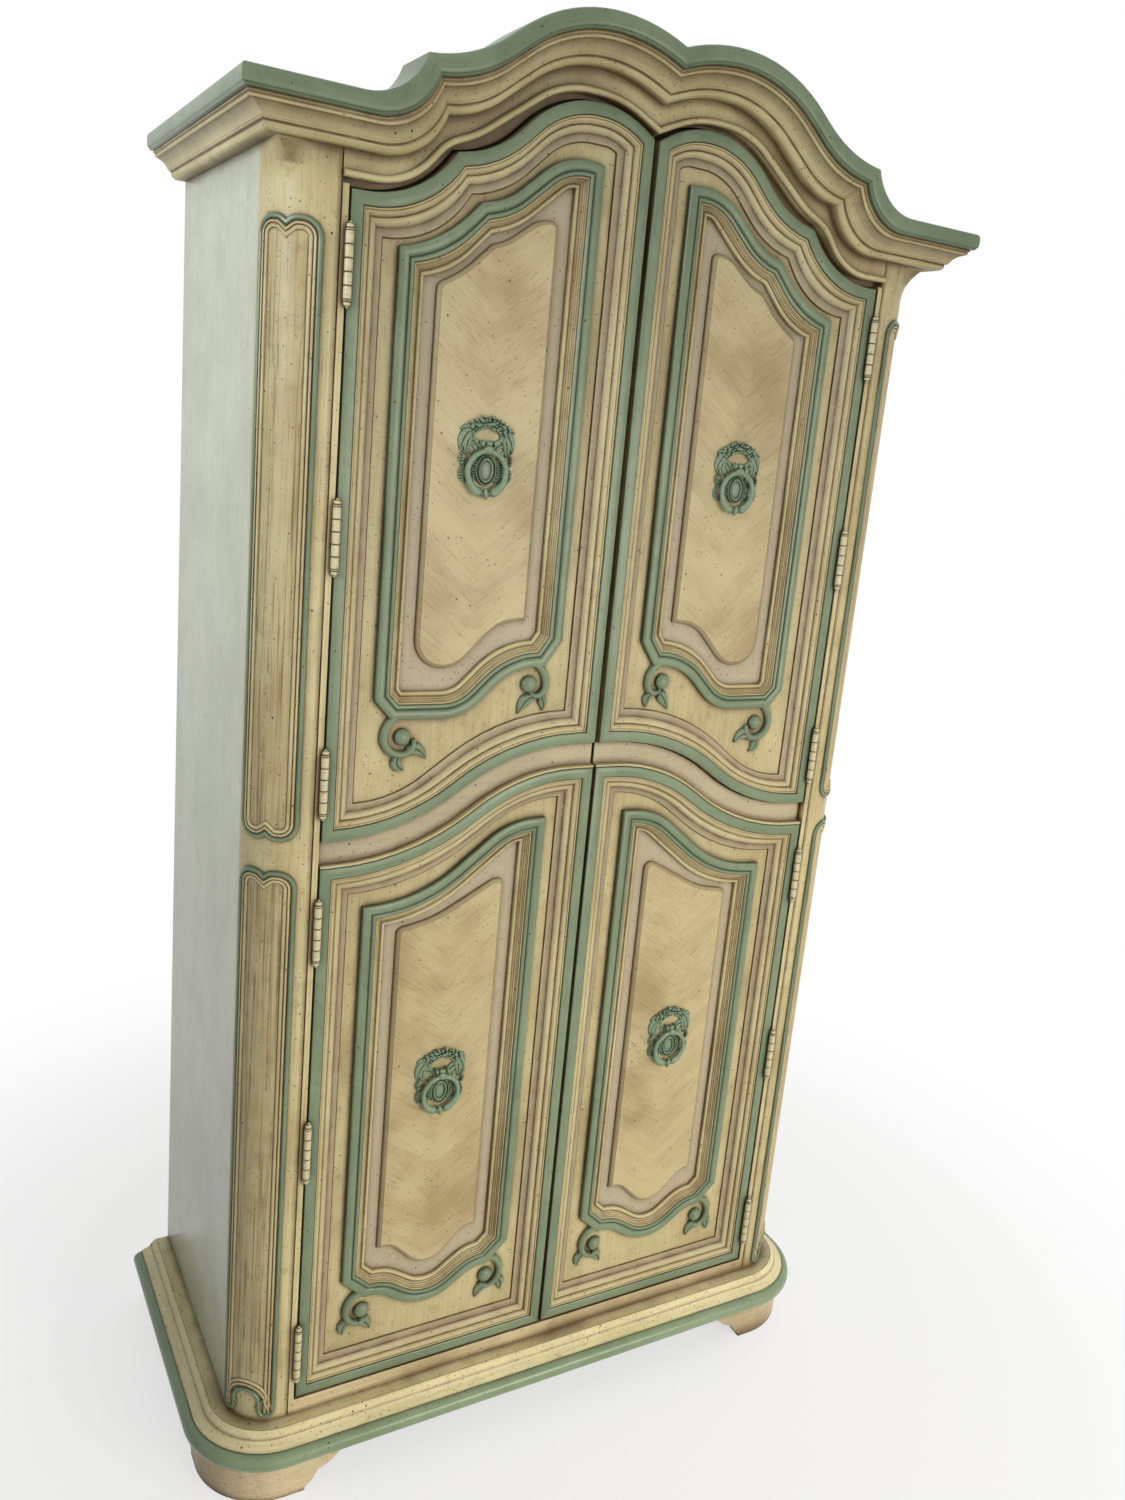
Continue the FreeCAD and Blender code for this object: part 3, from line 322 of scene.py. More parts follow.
def turns(outline, closed):
    # how far the line turns at each rounded corner, None at a sharp one
    made = []
    for i, corner in enumerate(outline):
        before, after = neighbours(outline, i, closed)
        if before and after and corner[2] > 0:
            a, b = direction(corner, before), direction(corner, after)
            made.append(math.pi - math.acos(max(-1.0, min(1.0, a[0] * b[0] + a[1] * b[1]))))
        else:
            made.append(None)
    return made


def cornerSteps(outline, closed=True, finest=6):
    return [0 if turn is None else max(2, math.ceil(math.degrees(turn) / finest))
            for turn in turns(outline, closed)]


def tangentLengths(outline, closed):
    # how far each arc reaches from its corner, cut back where two would meet
    reach = [corner[2] * math.tan(turn / 2) if turn else 0.0
             for corner, turn in zip(outline, turns(outline, closed))]
    count = len(outline)
    share = [1.0] * count
    for i in range(count if closed else count - 1):
        j = (i + 1) % count
        room = direction(outline[i], outline[j])[2] * 0.999
        if reach[i] + reach[j] > room:
            share[i] = min(share[i], room / (reach[i] + reach[j]))
            share[j] = min(share[j], room / (reach[i] + reach[j]))
    return [a * b for a, b in zip(reach, share)]


def inset(outline, distance, closed=True):
    # every side moves to its left; mitred corners, arcs stay concentric
    moved = []
    for i, (x, z, radius) in enumerate(outline):
        before, after = neighbours(outline, i, closed)
        if before is None or after is None:
            a, b = (outline[i], after) if before is None else (before, outline[i])
            dx, dz, run = direction(a, b)
            moved.append((x - dz * distance, z + dx * distance, radius))
            continue
        ax, az, run = direction(before, outline[i])
        bx, bz, run = direction(outline[i], after)
        bulge = 1 + ax * bx + az * bz
        bend = ax * bz - az * bx
        if radius > 0:
            radius = max(0.5, radius - distance if bend > 0 else radius + distance)
        moved.append((x - (az + bz) / bulge * distance, z + (ax + bx) / bulge * distance, radius))
    return moved


def walk(outline, closed=True, steps=None):
    # the outline as points; steps of one outline give every inset of it the same number
    steps = steps or cornerSteps(outline, closed)
    reach, bends = tangentLengths(outline, closed), turns(outline, closed)
    points = []
    for i, (x, z, radius) in enumerate(outline):
        if steps[i] == 0:
            points.append((x, z))
            continue
        a, b = (direction(outline[i], other) for other in neighbours(outline, i, closed))
        mx, mz, unused = direction((0, 0), (a[0] + b[0], a[1] + b[1]))
        bow = reach[i] / math.tan(bends[i] / 2)
        cx = x + mx * bow / math.cos(bends[i] / 2)
        cz = z + mz * bow / math.cos(bends[i] / 2)
        start, end = (math.atan2(z + way[1] * reach[i] - cz, x + way[0] * reach[i] - cx) for way in (a, b))
        swing = (end - start + math.pi) % (2 * math.pi) - math.pi
        for k in range(steps[i] + 1):
            angle = start + swing * k / steps[i]
            points.append((cx + bow * math.cos(angle), cz + bow * math.sin(angle)))
    return points


# meshes, as rows of vertices that carry glaze with painted shade, and wash, with a map "run" along and across
# the rows


def newMesh():
    mesh = bmesh.new()
    mesh.verts.layers.float.new("glazeAndShade")
    mesh.verts.layers.float.new("wash")
    mesh.loops.layers.uv.new("run")
    return mesh


def addRow(mesh, points, glazeAndShade=0.0, wash=0.0):
    layers = mesh.verts.layers.float
    row = [mesh.verts.new(Vector(point) * mm) for point in points]
    for vert in row:
        vert[layers["glazeAndShade"]] = glazeAndShade
        vert[layers["wash"]] = wash
    return row


def onDoor(x, z, depth):
    return x, face + depth, z


def frontRow(mesh, points, depth, glazeAndShade=0.0, wash=0.0, place=onDoor):
    return addRow(mesh, [place(x, z, depth) for x, z in points], glazeAndShade, wash)


def joinRows(mesh, rows, ringed=True, looped=False):
    # quads between rows; ringed closes each row, looped joins the last row to the first
    uv = mesh.loops.layers.uv["run"]
    count = len(rows[0])
    along, across = [0.0], [0.0]
    guide = rows[len(rows) // 2]
    for i in range(count):
        along.append(along[-1] + (guide[(i + 1) % count].co - guide[i].co).length)
    pairs = [(rows[i], rows[(i + 1) % len(rows)]) for i in range(len(rows) if looped else len(rows) - 1)]
    for r, (low, high) in enumerate(pairs):
        across.append(across[-1] + (low[0].co - high[0].co).length)
        for i in range(count if ringed else count - 1):
            j = (i + 1) % count
            ring = [low[i], low[j], high[j], high[i]]
            if len({tuple(v.co) for v in ring}) < 3:
                continue
            quad = mesh.faces.new(ring)
            for loop, (a, b) in zip(quad.loops, ((i, r), (i + 1, r), (i + 1, r + 1), (i, r + 1))):
                loop[uv].uv = (along[a], across[b])


def fillLoops(mesh, loops):
    # a flat face with holes: the loops are rings of verts
    uv = mesh.loops.layers.uv["run"]
    edges = []
    for ring in loops:
        for a, b in zip(ring, ring[1:] + ring[:1]):
            edges.append(mesh.edges.get((a, b)) or mesh.edges.new((a, b)))
    made = bmesh.ops.triangle_fill(mesh, use_beauty=True, use_dissolve=False, edges=edges)
    for item in made["geom"]:
        if isinstance(item, bmesh.types.BMFace):
            for loop in item.loops:
                loop[uv].uv = (loop.vert.co.z, loop.vert.co.x)


def capEnd(mesh, ring):
    uv = mesh.loops.layers.uv["run"]
    for loop in mesh.faces.new(ring).loops:
        loop[uv].uv = (loop.vert.co.z, loop.vert.co.x + loop.vert.co.y)


def closeSolid(mesh, rows):
    # ringed rows, capped at the first and the last
    joinRows(mesh, rows)
    capEnd(mesh, rows[0])
    capEnd(mesh, rows[-1])


def closeRun(mesh, rows):
    # open rows that go right round a profile, capped at both ends of the run
    joinRows(mesh, rows, ringed=False, looped=True)
    for side in (0, -1):
        capEnd(mesh, [row[side] for row in rows])


def profileRows(mesh, outline, profile, closed=True, place=onDoor, steps=None):
    # a profile of (offset, depth, glaze with painted shade, wash) along an outline; glaze and wash are left
    # off where 0
    steps = steps or cornerSteps(outline, closed)
    return [frontRow(mesh, walk(inset(outline, offset, closed), closed, steps), depth, *shade, place=place)
            for offset, depth, *shade in profile]


def sweep(mesh, outline, profile, closed=True, **how):
    rows = profileRows(mesh, outline, profile, closed, **how)
    if closed:
        joinRows(mesh, rows, looped=True)
    else:
        closeRun(mesh, rows)


def attach(piece, body, replaced):
    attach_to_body(piece, body)
    if replaced:
        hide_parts(*replaced)


def finishPiece(mesh, name, material, body="cabinet", replaced=(), smooth=28):
    bmesh.ops.remove_doubles(mesh, verts=mesh.verts, dist=0.001 * mm)
    bmesh.ops.recalc_face_normals(mesh, faces=mesh.faces)
    data = bpy.data.meshes.new(name)
    mesh.to_mesh(data)
    mesh.free()
    piece = bpy.data.objects.new(name, data)
    bpy.context.scene.collection.objects.link(piece)
    bpy.ops.object.select_all(action="DESELECT")
    piece.select_set(True)
    bpy.context.view_layer.objects.active = piece
    bpy.ops.object.shade_smooth_by_angle(angle=math.radians(smooth))
    data.materials.append(material)
    attach(piece, body, replaced)
    return piece


def finishPair(mesh, name, material, body="cabinet", replaced=(), **how):
    # a right-hand piece and its left-hand twin, whose own mesh is mirrored and turned outside out again
    piece = finishPiece(mesh, name, material, body, replaced, **how)
    twin = piece.copy()
    twin.data = piece.data.copy()
    twin.name = twin.data.name = name.replace("right", "left")
    for key in [key for key in twin.keys() if key.startswith("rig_")]:
        del twin[key]
    twin.parent = None
    bpy.context.scene.collection.objects.link(twin)
    twin.data.transform(Matrix.Scale(-1, 4, Vector((1, 0, 0))))
    twin.data.flip_normals()
    attach(twin, body.replace("right", "left"),
           [own.replace("right", "left") for own in replaced if "right" in own])


def sweepPair(name, material, body, outline, profile, replaced=(), **how):
    mesh = newMesh()
    sweep(mesh, outline, profile, **how)
    finishPair(mesh, name, material, body, replaced)


# curves of the front, right half, x from the middle


def seamCurve(end, drop=0):
    return inset([(halfBay, seam, 0), (302.5, seam, 305), (136.5, seam + 124, 305), (end, seam + 124, 0)],
                 drop, False)


def headCurve(end):
    return [(halfBay, head, 0), (328.5, head, 142), (286.5, head + 66, 0), (234.5, head + 75, 144),
            (146.5, head + 163, 146), (44.5, head + 163, 146), (end, head + 134, 0)]


def beadCurve():
    return [(armoire["pilasterX"], head + 11, 0), (349.5, head + 11, 95), (300.5, head + 69, 60),
            (260.5, head + 86, 150), (148.5, head + 169, 120), (61.5, head + 170, 150), (0, head + 141, 0)]


def crestCurve(end):
    shoulder, notch = armoire["shoulder"], armoire["notch"]
    return [(end, shoulder, 0), (370, shoulder, 82), (352, notch - 84, 0), (293.5, notch - 78, 190),
            (173.6, notch + 18.5, 220), (46.6, notch + 18.5, 263), (0, notch, 0)]


def bothSides(curve):
    return [(-x, z, radius) for x, z, radius in curve] + curve[-2::-1]


def raised(base, corners):
    return [(x, base + z, radius) for x, z, radius in corners]


def footOf(corners):
    # the lower end of a lower door's outline, mirrored about the middle of the door
    return raised(doorFoot, [(middle - x, z, radius) for x, z, radius in corners[:0:-1]]
                  + [(middle + x, z, radius) for x, z, radius in corners])


def lowerEdge(drop):
    return [(2.5, doorFoot, 0), (halfBay, doorFoot, 0)] + seamCurve(2.5, drop)


# doors

door = {
    "upper": {
        "edge": seamCurve(4)[::-1] + headCurve(4),
        "shell": [("edge", 38, 0), ("edge", 4, 0.2)],  # (outline, depth, glaze with painted shade) from the back to the front
        "moulding": raised(seam, [(69.6, 278, 0), (95, 240.5, 0), (148, 238, 98), (218, 166.5, 82),
                                  (326.5, 167, 0), (351.9, 195, 0)])
        + raised(head, [(351.9, -54.6, 0), (296.5, -42, 175), (243.5, 15, 0), (208.5, 24, 96),
                        (128.5, 96, 96), (69.6, 91, 0)]),
        "panel": raised(seam, [(126.5, 306, 0), (170, 302, 60), (231.5, 237, 50), (295, 237, 42)])
        + raised(head, [(295, -90, 12), (261.5, -72, 150), (221.5, -31.5, 0), (199.5, -24, 80),
                        (153.5, 12, 60), (126.5, 10, 12)]),
    },
    "lower": {
        "edge": lowerEdge(armoire["rimDrop"]), "slab": lowerEdge(35), "lip": lowerEdge(15),
        "shell": [("lip", 38, 0), ("lip", 25, 0), ("slab", 25, 0), ("slab", 3.4, 0.1)],
        "moulding": footOf([(0, 81.5, 80), (79, 136.5, 50), (104, 136.5, 0), (141.15, 172, 0)])
        + raised(rimTop, [(351.9, -69, 0), (263.5, -64, 200), (132, 43, 120), (69.6, 46, 0)]),
        "panel": footOf([(0, 148, 42), (63, 212, 30), (84.25, 212, 0)])
        + raised(rimTop, [(295, -113, 12), (239.5, -103, 150), (143.5, -50, 20), (126.5, -50, 12)]),
    },
    "thick": 38, "frameHole": 10.5, "fieldDepth": 20, "plateInset": 11, "plateFront": 27.5, "plateBack": 36,
}
# profiles: (offset from the outline, depth behind the face, brown glaze with painted shade in the quirks,
# pink-grey wash)
rimProfile = [(0, 4, 0.3), (0, 2), (0.7, 0.7), (2, 0), (8.5, -0.4), (15, 0), (16.2, 0.8, 0.2),
    (16.6, 2.2, 0.9), (16.6, 4, 1)]
frameProfile = [(0.2, 3.4, 0.6), (16.5, 3.4, 0.9), (17, 3.2, 0.7), (17.6, 2.2, 0.1), (19.2, 2.3),
    (19.8, 3.6, 0.8), (20.4, 3.4, 0.3), (22.2, 3.9), (24.4, 5.2, 0.1, 0.2), (26.2, 7.4, 0.3, 0.3),
    (26.8, 9.4, 1), (27.6, 9.2, 0.7), (28.6, 8.8), (31.5, 9.3, 0, 0.1), (34.4, 10.8, 0.1, 0.4),
    (36.6, 13, 0.3, 0.5), (37.4, 14.8, 1, 0.2), (38.6, 15.2, 0.7, 0.6), (41.5, 16.6, 0.42, 0.7),
    (45, 17.6, 0.34, 0.5), (46.8, 17.8, 0.25, 0.2), (47.3, 20.6, 1), (48.2, 20.6, 0.9), (48.8, 20, 0.15)]
bolectionProfile = [(0, 21, 1), (0, 15, 0.6), (0.3, 13, 0.1), (1.4, 11.6), (3.6, 10.7), (7, 10.4),
    (10.6, 10.9), (13, 12.2, 0.2), (14.1, 13.8, 1), (14.9, 13.6, 0.8), (15.7, 12.4), (17.4, 11.7),
    (19.4, 12.2), (20.6, 13.6, 0.3), (20.9, 15.6, 1), (20.9, 21, 1)]
coveProfile = [(20, 28.5, 1), (20, 15.2, 1), (21.2, 15, 0.8), (22, 14.4), (23.2, 14.6), (23.6, 16.2, 0.9),
    (24.3, 16.8, 0.2), (25, 17.6, 0.3), (25.3, 18.6, 0.9), (26, 19, 0.2), (27.4, 20.2, 0.3),
    (27.7, 21.2, 0.9), (28.4, 21.6, 0.25), (29.8, 22.2, 0.3), (30.4, 22.9, 0.8), (31.6, 22.6, 0.7),
    (31.9, 22.2, 0.2), (33, 21.2), (34.8, 20.8), (36.6, 21.8), (37.7, 23.8, 0.2), (38, 26.6, 0.9),
    (38, 28.5, 1)]
panelProfile = [(0, 27.8, 1), (0.2, 25.6, 0.9), (0.9, 24.4, 0.5, 0.2), (2.2, 22.6, 0.35, 0.3),
    (4.2, 21, 0.3, 0.3), (5.6, 20.4, 0.6), (6.2, 20, 0.1)]
# the bright bead along the top of a lower door, over its green rim
topBead = [(0, 3.6), (0.2, 1.8), (1, 0.5), (2.2, 0), (3.4, 0.4), (4.3, 1.6, 0.4), (4.4, 3.6, 1)]
# the pink-grey strip that closes the rebate between the doors: (drop below the seam, depth, glaze with
# painted shade at its gaps, wash)
seamBand = [(35.2, 37), (35.2, 10.6, 1), (33.6, 10.8, 0.8, 0.2), (32.6, 11.6, 0, 0.6), (3.2, 11.6, 0, 0.6),
            (2.2, 12.4, 0.6, 0.4), (2, 37, 0.2)]


def buildFrame(level, body):
    # the stile and rail frame in cream: moulded edge, flat field, opening and back
    shape = door[level]
    mesh = newMesh()
    steps = cornerSteps(shape["edge"])
    rows = [frontRow(mesh, walk(shape[key], steps=steps), depth, glazeAndShade)
            for key, depth, glazeAndShade in shape["shell"]]
    rows += profileRows(mesh, shape["edge"], frameProfile)
    joinRows(mesh, rows)
    hole = inset(shape["moulding"], door["frameHole"])
    points = walk(hole)
    mouth = [frontRow(mesh, points, depth) for depth in (door["fieldDepth"], door["thick"])]
    joinRows(mesh, mouth)
    fillLoops(mesh, [rows[-1], mouth[0]])
    fillLoops(mesh, [rows[0], mouth[1]])
    finishPair(mesh, f"frame_{level}_right", creamMoulding, body, [body + "_frame"])


def buildPanel(level, body):
    # the channel plate and the raised veneered middle
    mesh = newMesh()
    edge = inset(door[level]["moulding"], door["plateInset"])
    points = walk(edge)
    plate = [frontRow(mesh, points, door["plateBack"]), frontRow(mesh, points, door["plateFront"], 0, 0.85)]
    joinRows(mesh, plate)
    hole = inset(door[level]["panel"], 1)
    points = walk(hole)
    mouth = frontRow(mesh, points, door["plateFront"], 0.1, 0.8)
    fillLoops(mesh, [plate[1], mouth])
    # the hole's back edge round the raised panel: brown glaze with painted shade in the gap
    rear = frontRow(mesh, points, door["plateFront"] + 1.5, 1)
    joinRows(mesh, [mouth, rear])
    fillLoops(mesh, [rear])
    fillLoops(mesh, [plate[0]])
    finishPair(mesh, f"channel_{level}_right", creamMoulding, body, [body + "_panel"])
    mesh = newMesh()
    rows = profileRows(mesh, door[level]["panel"], panelProfile)
    joinRows(mesh, rows)
    fillLoops(mesh, [rows[-1]])
    fillLoops(mesh, [rows[0]])
    finishPair(mesh, f"panel_{level}_right", panelVeneer, body)


def buildSeamBand():
    mesh = newMesh()
    closeRun(mesh, [frontRow(mesh, walk(seamCurve(2.5, drop), False), depth, *shade)
                    for drop, depth, *shade in seamBand])
    finishPair(mesh, "seam_band_right", creamRail, "lower_door_right")


for level in ("upper", "lower"):
    body = f"{level}_door_right"
    moulding = door[level]["moulding"]
    buildFrame(level, body)
    sweepPair(f"rim_{level}_right", sageMoulding, body, door[level]["edge"], rimProfile)
    sweepPair(f"bolection_{level}_right", sageMoulding, body, moulding, bolectionProfile,
              [body + "_moulding"])
    sweepPair(f"cove_{level}_right", creamMoulding, body, moulding, coveProfile)
    buildPanel(level, body)
sweepPair("rim_bead_right", creamMoulding, "lower_door_right", seamCurve(2.5, 35), topBead, closed=False)
buildSeamBand()
print("doors made")

# relief carving


def smoothPath(points, between=5):
    # a curve through all the points; each is (x, z, half width)
    made = []
    for i in range(len(points) - 1):
        p0, p1, p2, p3 = (points[max(0, min(len(points) - 1, i + k))] for k in (-1, 0, 1, 2))
        for k in range(between):
            t = k / between
            made.append(tuple(0.5 * (2 * b + (c - a) * t + (2 * a - 5 * b + 4 * c - d) * t * t
                                     + (3 * b - a - 3 * c + d) * t ** 3)
                              for a, b, c, d in zip(p0, p1, p2, p3)))
    return made + [tuple(points[-1])]


def markGlazeAndShade(mesh, row, places, glazeAndShade):
    layer = mesh.verts.layers.float["glazeAndShade"]
    for place in places:
        row[place][layer] = glazeAndShade


def reliefTube(mesh, path, base, height):
    # a half-round band raised from the base depth along a path of (x, z, half width)
    path = smoothPath(path)
    rows = []
    for i, (x, z, half) in enumerate(path):
        dx, dz, run = direction(path[max(0, i - 1)], path[min(len(path) - 1, i + 1)])
        ring = []
        for angle in range(0, 181, 20):
            side = half * math.cos(math.radians(angle))
            rise = height * min(1.0, half / 5.5) * math.sin(math.radians(angle))
            ring.append(onDoor(x - dz * side, z + dx * side, base - rise))
        ring += [onDoor(x - dz * s * half, z + dx * s * half, base + 1) for s in (-1, 1)]
        rows.append(addRow(mesh, ring))
        # the band's edges and foot darkened where it meets the ground: brown glaze with painted shade
        markGlazeAndShade(mesh, rows[-1], (0, -3, -2, -1), 0.9)
    closeSolid(mesh, rows)


def blob(mesh, centre, radii, turn=Matrix.Identity(3), fine=12):
    # an ellipsoid, turned by a matrix, given as (x, y, z) in millimetres
    made = bmesh.ops.create_uvsphere(mesh, u_segments=fine, v_segments=max(6, fine // 2), radius=1)
    for vert in made["verts"]:
        vert.co = (Vector(centre) + turn @ (vert.co * Vector(radii))) * mm


leafSection = [(-1, 0), (-0.82, 0.55), (-0.5, 0.95), (-0.18, 0.9), (0, 0.62), (0.18, 0.9), (0.5, 0.95),
               (0.82, 0.55), (1, 0)]  # (share of the half width, share of the height)


def leaf(mesh, base, bend, tip, width, height, ground=20):
    # a pointed leaf with a creased middle, its spine bending past the bend point
    rows = []
    for k in range(11):
        t = k / 10
        x, z = (base[i] * (1 - t) ** 2 + bend[i] * 2 * t * (1 - t) + tip[i] * t * t for i in (0, 1))
        way = [(1 - t) * (bend[i] - base[i]) + t * (tip[i] - bend[i]) for i in (0, 1)]
        dx, dz, run = direction((0, 0), way)
        half = width * max(0.06, math.sin(math.pi * min(1, 0.16 + 0.84 * t)) ** 0.8)
        rise = height * (0.95 - 0.45 * t)
        ring = [onDoor(x - dz * s * half, z + dx * s * half, ground - r * rise) for s, r in leafSection]
        ring += [onDoor(x - dz * s * half, z + dx * s * half, ground + 1) for s in (1, -1)]
        rows.append(addRow(mesh, ring))
        # the leaf's edges, crease and foot darkened: brown glaze with painted shade
        markGlazeAndShade(mesh, rows[-1], (0, 4, 8, 9, 10), 0.85)
    closeSolid(mesh, rows)


# each scroll: its band of (x, z, half width), its eye and two leaves as (base, bend, tip, half width)
scrolls = {
    "upper": [
        {"from": (0, seam), "mirror": 1,
         "band": [(292, 175, 5.4), (303, 175, 6.2), (315, 173, 6.5), (326, 164.5, 6.5), (333, 152, 6.5),
                  (334.5, 139, 6.5), (330, 126.5, 6.4), (319.5, 118, 6.2), (307, 115.5, 6), (296.5, 119, 5.8),
                  (290.5, 128, 5.2), (291.5, 137, 4)],
         "eye": (307.5, 141, 12.6),
         "leaves": [((299, 119), (284, 130), (270, 108), 7.5), ((312, 114), (319, 98), (302, 92), 7)]},
        {"from": (0, seam), "mirror": 1,
         "band": [(152, 235, 5.2), (140, 243, 6), (127, 247.5, 6.3), (112, 246, 6.4), (99.5, 238, 6.4),
                  (91.5, 226, 6.3), (89, 213, 6.2), (92, 202, 6), (101, 196, 5.4), (110, 197.5, 4.4),
                  (113, 203, 3.4)],
         "eye": (116, 213.5, 13),
         "leaves": [((111, 195), (121, 191), (131, 169), 7.5), ((97, 195), (87, 186), (91, 173), 6)]},
    ],
    "lower": [
        {"from": (middle, doorFoot), "mirror": mirror,
         "band": [(68, 133, 5), (80, 141.5, 6), (94, 147, 6.4), (109, 146.5, 6.5), (121.5, 139.5, 6.5),
                  (130, 127.5, 6.5), (132, 113.5, 6.3), (128, 101, 6), (119.5, 93.5, 5.6), (109, 91, 5),
                  (101, 94, 4.2), (97.5, 100, 3.4)],
         "eye": (106.5, 112.5, 12.8),
         "leaves": [((129, 99), (139, 90), (136, 75), 7), ((110, 93), (98, 92), (91, 73), 7.5)]}
        for mirror in (1, -1)],
    "ground": 20, "bandHeight": 9.2, "eyeDepth": 18.5, "eyeHeight": 9.6, "leafHeight": 8.6, "leafWiden": 1.4,
}


def buildScrolls(level):
    mesh = newMesh()
    for scroll in scrolls[level]:
        def put(x, z, *rest):
            return (scroll["from"][0] + scroll["mirror"] * x, scroll["from"][1] + z, *rest)

        reliefTube(mesh, [put(*point) for point in scroll["band"]], scrolls["ground"], scrolls["bandHeight"])
        x, z, radius = put(*scroll["eye"])
        blob(mesh, (x, face + scrolls["eyeDepth"], z), (radius, scrolls["eyeHeight"], radius), fine=28)
        for base, bend, tip, width in scroll["leaves"]:
            leaf(mesh, put(*base), put(*bend), put(*tip), width * scrolls["leafWiden"], scrolls["leafHeight"])
    finishPair(mesh, f"scrolls_{level}_right", sageMoulding, f"{level}_door_right", smooth=50)


# ring pulls

pull = {
    "upper": seam + 551, "lower": doorFoot + 511.5,  # height of the pin
    "pivotDepth": 11, "ground": 20, "drop": 38.5, "rosetteDrop": 36, "ring": 28.4, "wire": 3.7, "seed": 7,
    # the hoop swells over so many degrees from its bottom, up to the ends of its tie
    "swellOver": 75, "tieHalf": 16, "swell": 3.7, "grooves": 0.25, "grooveCount": 18,
    "arch": [(-30, 4), (-27, 14), (-19.5, 22), (-10, 26.5), (0, 28), (10, 26.5), (19.5, 22), (27, 14),
             (30, 4)],
    # rows of buds along the arch: (distance from it, spacing, size)
    "flowers": [(-6.4, 5, 3), (-2.2, 5, 3.5), (2.4, 5.2, 3.6), (6.4, 5.4, 3.1)],
    # (base, bend, tip, half width, height)
    "leaves": [((22, 17), (33, 19), (40.5, 15.5), 6, 6.2), ((21, 19), (38, 8), (38.5, -12), 8.6, 6.2),
               ((25, 14), (32, -3), (29, -18), 7, 5.6), ((22, 16), (26, 6), (17.5, 1.5), 4.6, 6),
               ((14, -50), (26, -42), (22, -23), 5, 4)],
    # stems under the window, then the ribbed scrolls beside the ring: (points, half width, height)
    "bands": [([(33, 2), (27, 5.5), (20, 5), (14, 0.5), (9, -5)], 3.1, 5.8),
              ([(30, -4), (24, -2.5), (18, -5), (13, -12)], 2.7, 4.8),
              ([(31, -10), (25, -11), (20, -15), (17, -22)], 2.6, 4.2),
              ([(29, -12), (35, -15), (38, -21), (36.5, -27), (31, -29), (27.5, -26), (29, -22)], 2.9, 5),
              ([(29, -29), (34, -34), (37, -41), (35.5, -49), (29, -52.5), (24, -49), (26, -44)], 2.9, 5),
              ([(31, -29), (22, -30), (15, -33)], 2.2, 3.4), ([(27, -51), (19, -52), (12, -49)], 2.2, 3.4)],
    "ribs": [[(33.5, -14), (37.8, -21), (35, -28)], [(33.5, -33), (37, -41), (33.5, -50.5)],
             [(16.5, -26), (18.4, -36), (16.5, -47)]],
    "ear": 8.8, "earDepth": 15,
    # rings of the oval rosette: (half width, half height, depth, glaze with painted shade, dark in the
    # grooves and in the ring under the hoop)
    "rosette": [(15.8, 21.4, 20, 1), (15.8, 21.4, 15.6, 0.6), (15, 20.6, 14.2, 0), (13.8, 19.4, 14, 0.1),
                (12.8, 18.4, 15.6, 1), (12.2, 17.8, 16.4, 1), (11.4, 17, 14.4, 0.1), (10, 15.4, 13.2, 0),
                (8.8, 14, 13.6, 0.1), (8.2, 13.2, 15.6, 0.9), (7.2, 12.2, 16, 0.5), (5, 9, 15.4, 0.1),
                (2, 4, 15, 0)],
}


def pointTo(dx, dz, roll=0.0):
    # turns a blob's long x axis to lie along (dx, dz) in the face of the door
    return Matrix.Rotation(-math.atan2(dz, dx) - roll, 3, "Y")


def alongArc(points, spacing):
    path = smoothPath(points, 12)
    made, left = [], 0.0
    for a, b in zip(path, path[1:]):
        dx, dz, run = direction(a, b)
        while left <= run:
            made.append((a[0] + dx * left, a[1] + dz * left, dx, dz))
            left += spacing
        left -= run
    return made


def around(step, centre, across, up):
    # points of an oval as (x, z)
    return [(centre[0] + across * math.cos(math.radians(a)), centre[1] + up * math.sin(math.radians(a)))
            for a in range(0, 360, step)]


def buildWreath(level):
    # openwork: flowers over a lens window, broad side leaves, ribbed scrolls and an oval rosette
    px, pz, ground = middle, pull[level], pull["ground"]
    mesh = newMesh()
    reliefTube(mesh, [(px + x, pz + z, 6.4) for x, z in pull["arch"]], ground, 3.4)
    random.seed(pull["seed"])
    for lift, spacing, size in pull["flowers"]:
        for x, z, dx, dz in alongArc(pull["arch"][1:-1], spacing):
            x, z = x - dz * lift + random.uniform(-1, 1), z + dx * lift + random.uniform(-1, 1)
            big = size * random.uniform(0.8, 1.2)
            blob(mesh, (px + x, face + ground - 3.2 - random.uniform(0, 3), pz + z), (big, 3.2, big * 0.66),
                 pointTo(dx, dz, random.uniform(-1, 1)), fine=8)
    for side in (-1, 1):
        for *spine, width, rise in pull["leaves"]:
            leaf(mesh, *[(px + side * x, pz + z) for x, z in spine], width, rise, ground)
        for points, half, height in pull["bands"]:
            reliefTube(mesh, [(px + side * x, pz + z, half) for x, z in points], ground, height)
        for path in pull["ribs"]:
            for x, z, dx, dz in alongArc(path, 3.6):
                blob(mesh, (px + side * x, face + ground - 4.2, pz + z), (3.4, 2.2, 1.2),
                     pointTo(side * dz, -dx), fine=8)
        x = px + side * pull["ear"]
        blob(mesh, (x, face + pull["pivotDepth"], pz), (2.6, 4.5, 4.5), fine=16)
        blob(mesh, (x, face + pull["earDepth"], pz), (2.8, 5, 4.4))
    rows = [frontRow(mesh, around(10, (px, pz - pull["rosetteDrop"]), across, up), depth, glazeAndShade)
            for across, up, depth, glazeAndShade in pull["rosette"]]
    closeSolid(mesh, rows)
    body = f"{level}_door_right"
    finishPair(mesh, f"pull_wreath_{level}_right", castSage, body, [body + "_pull_plate"], smooth=55)


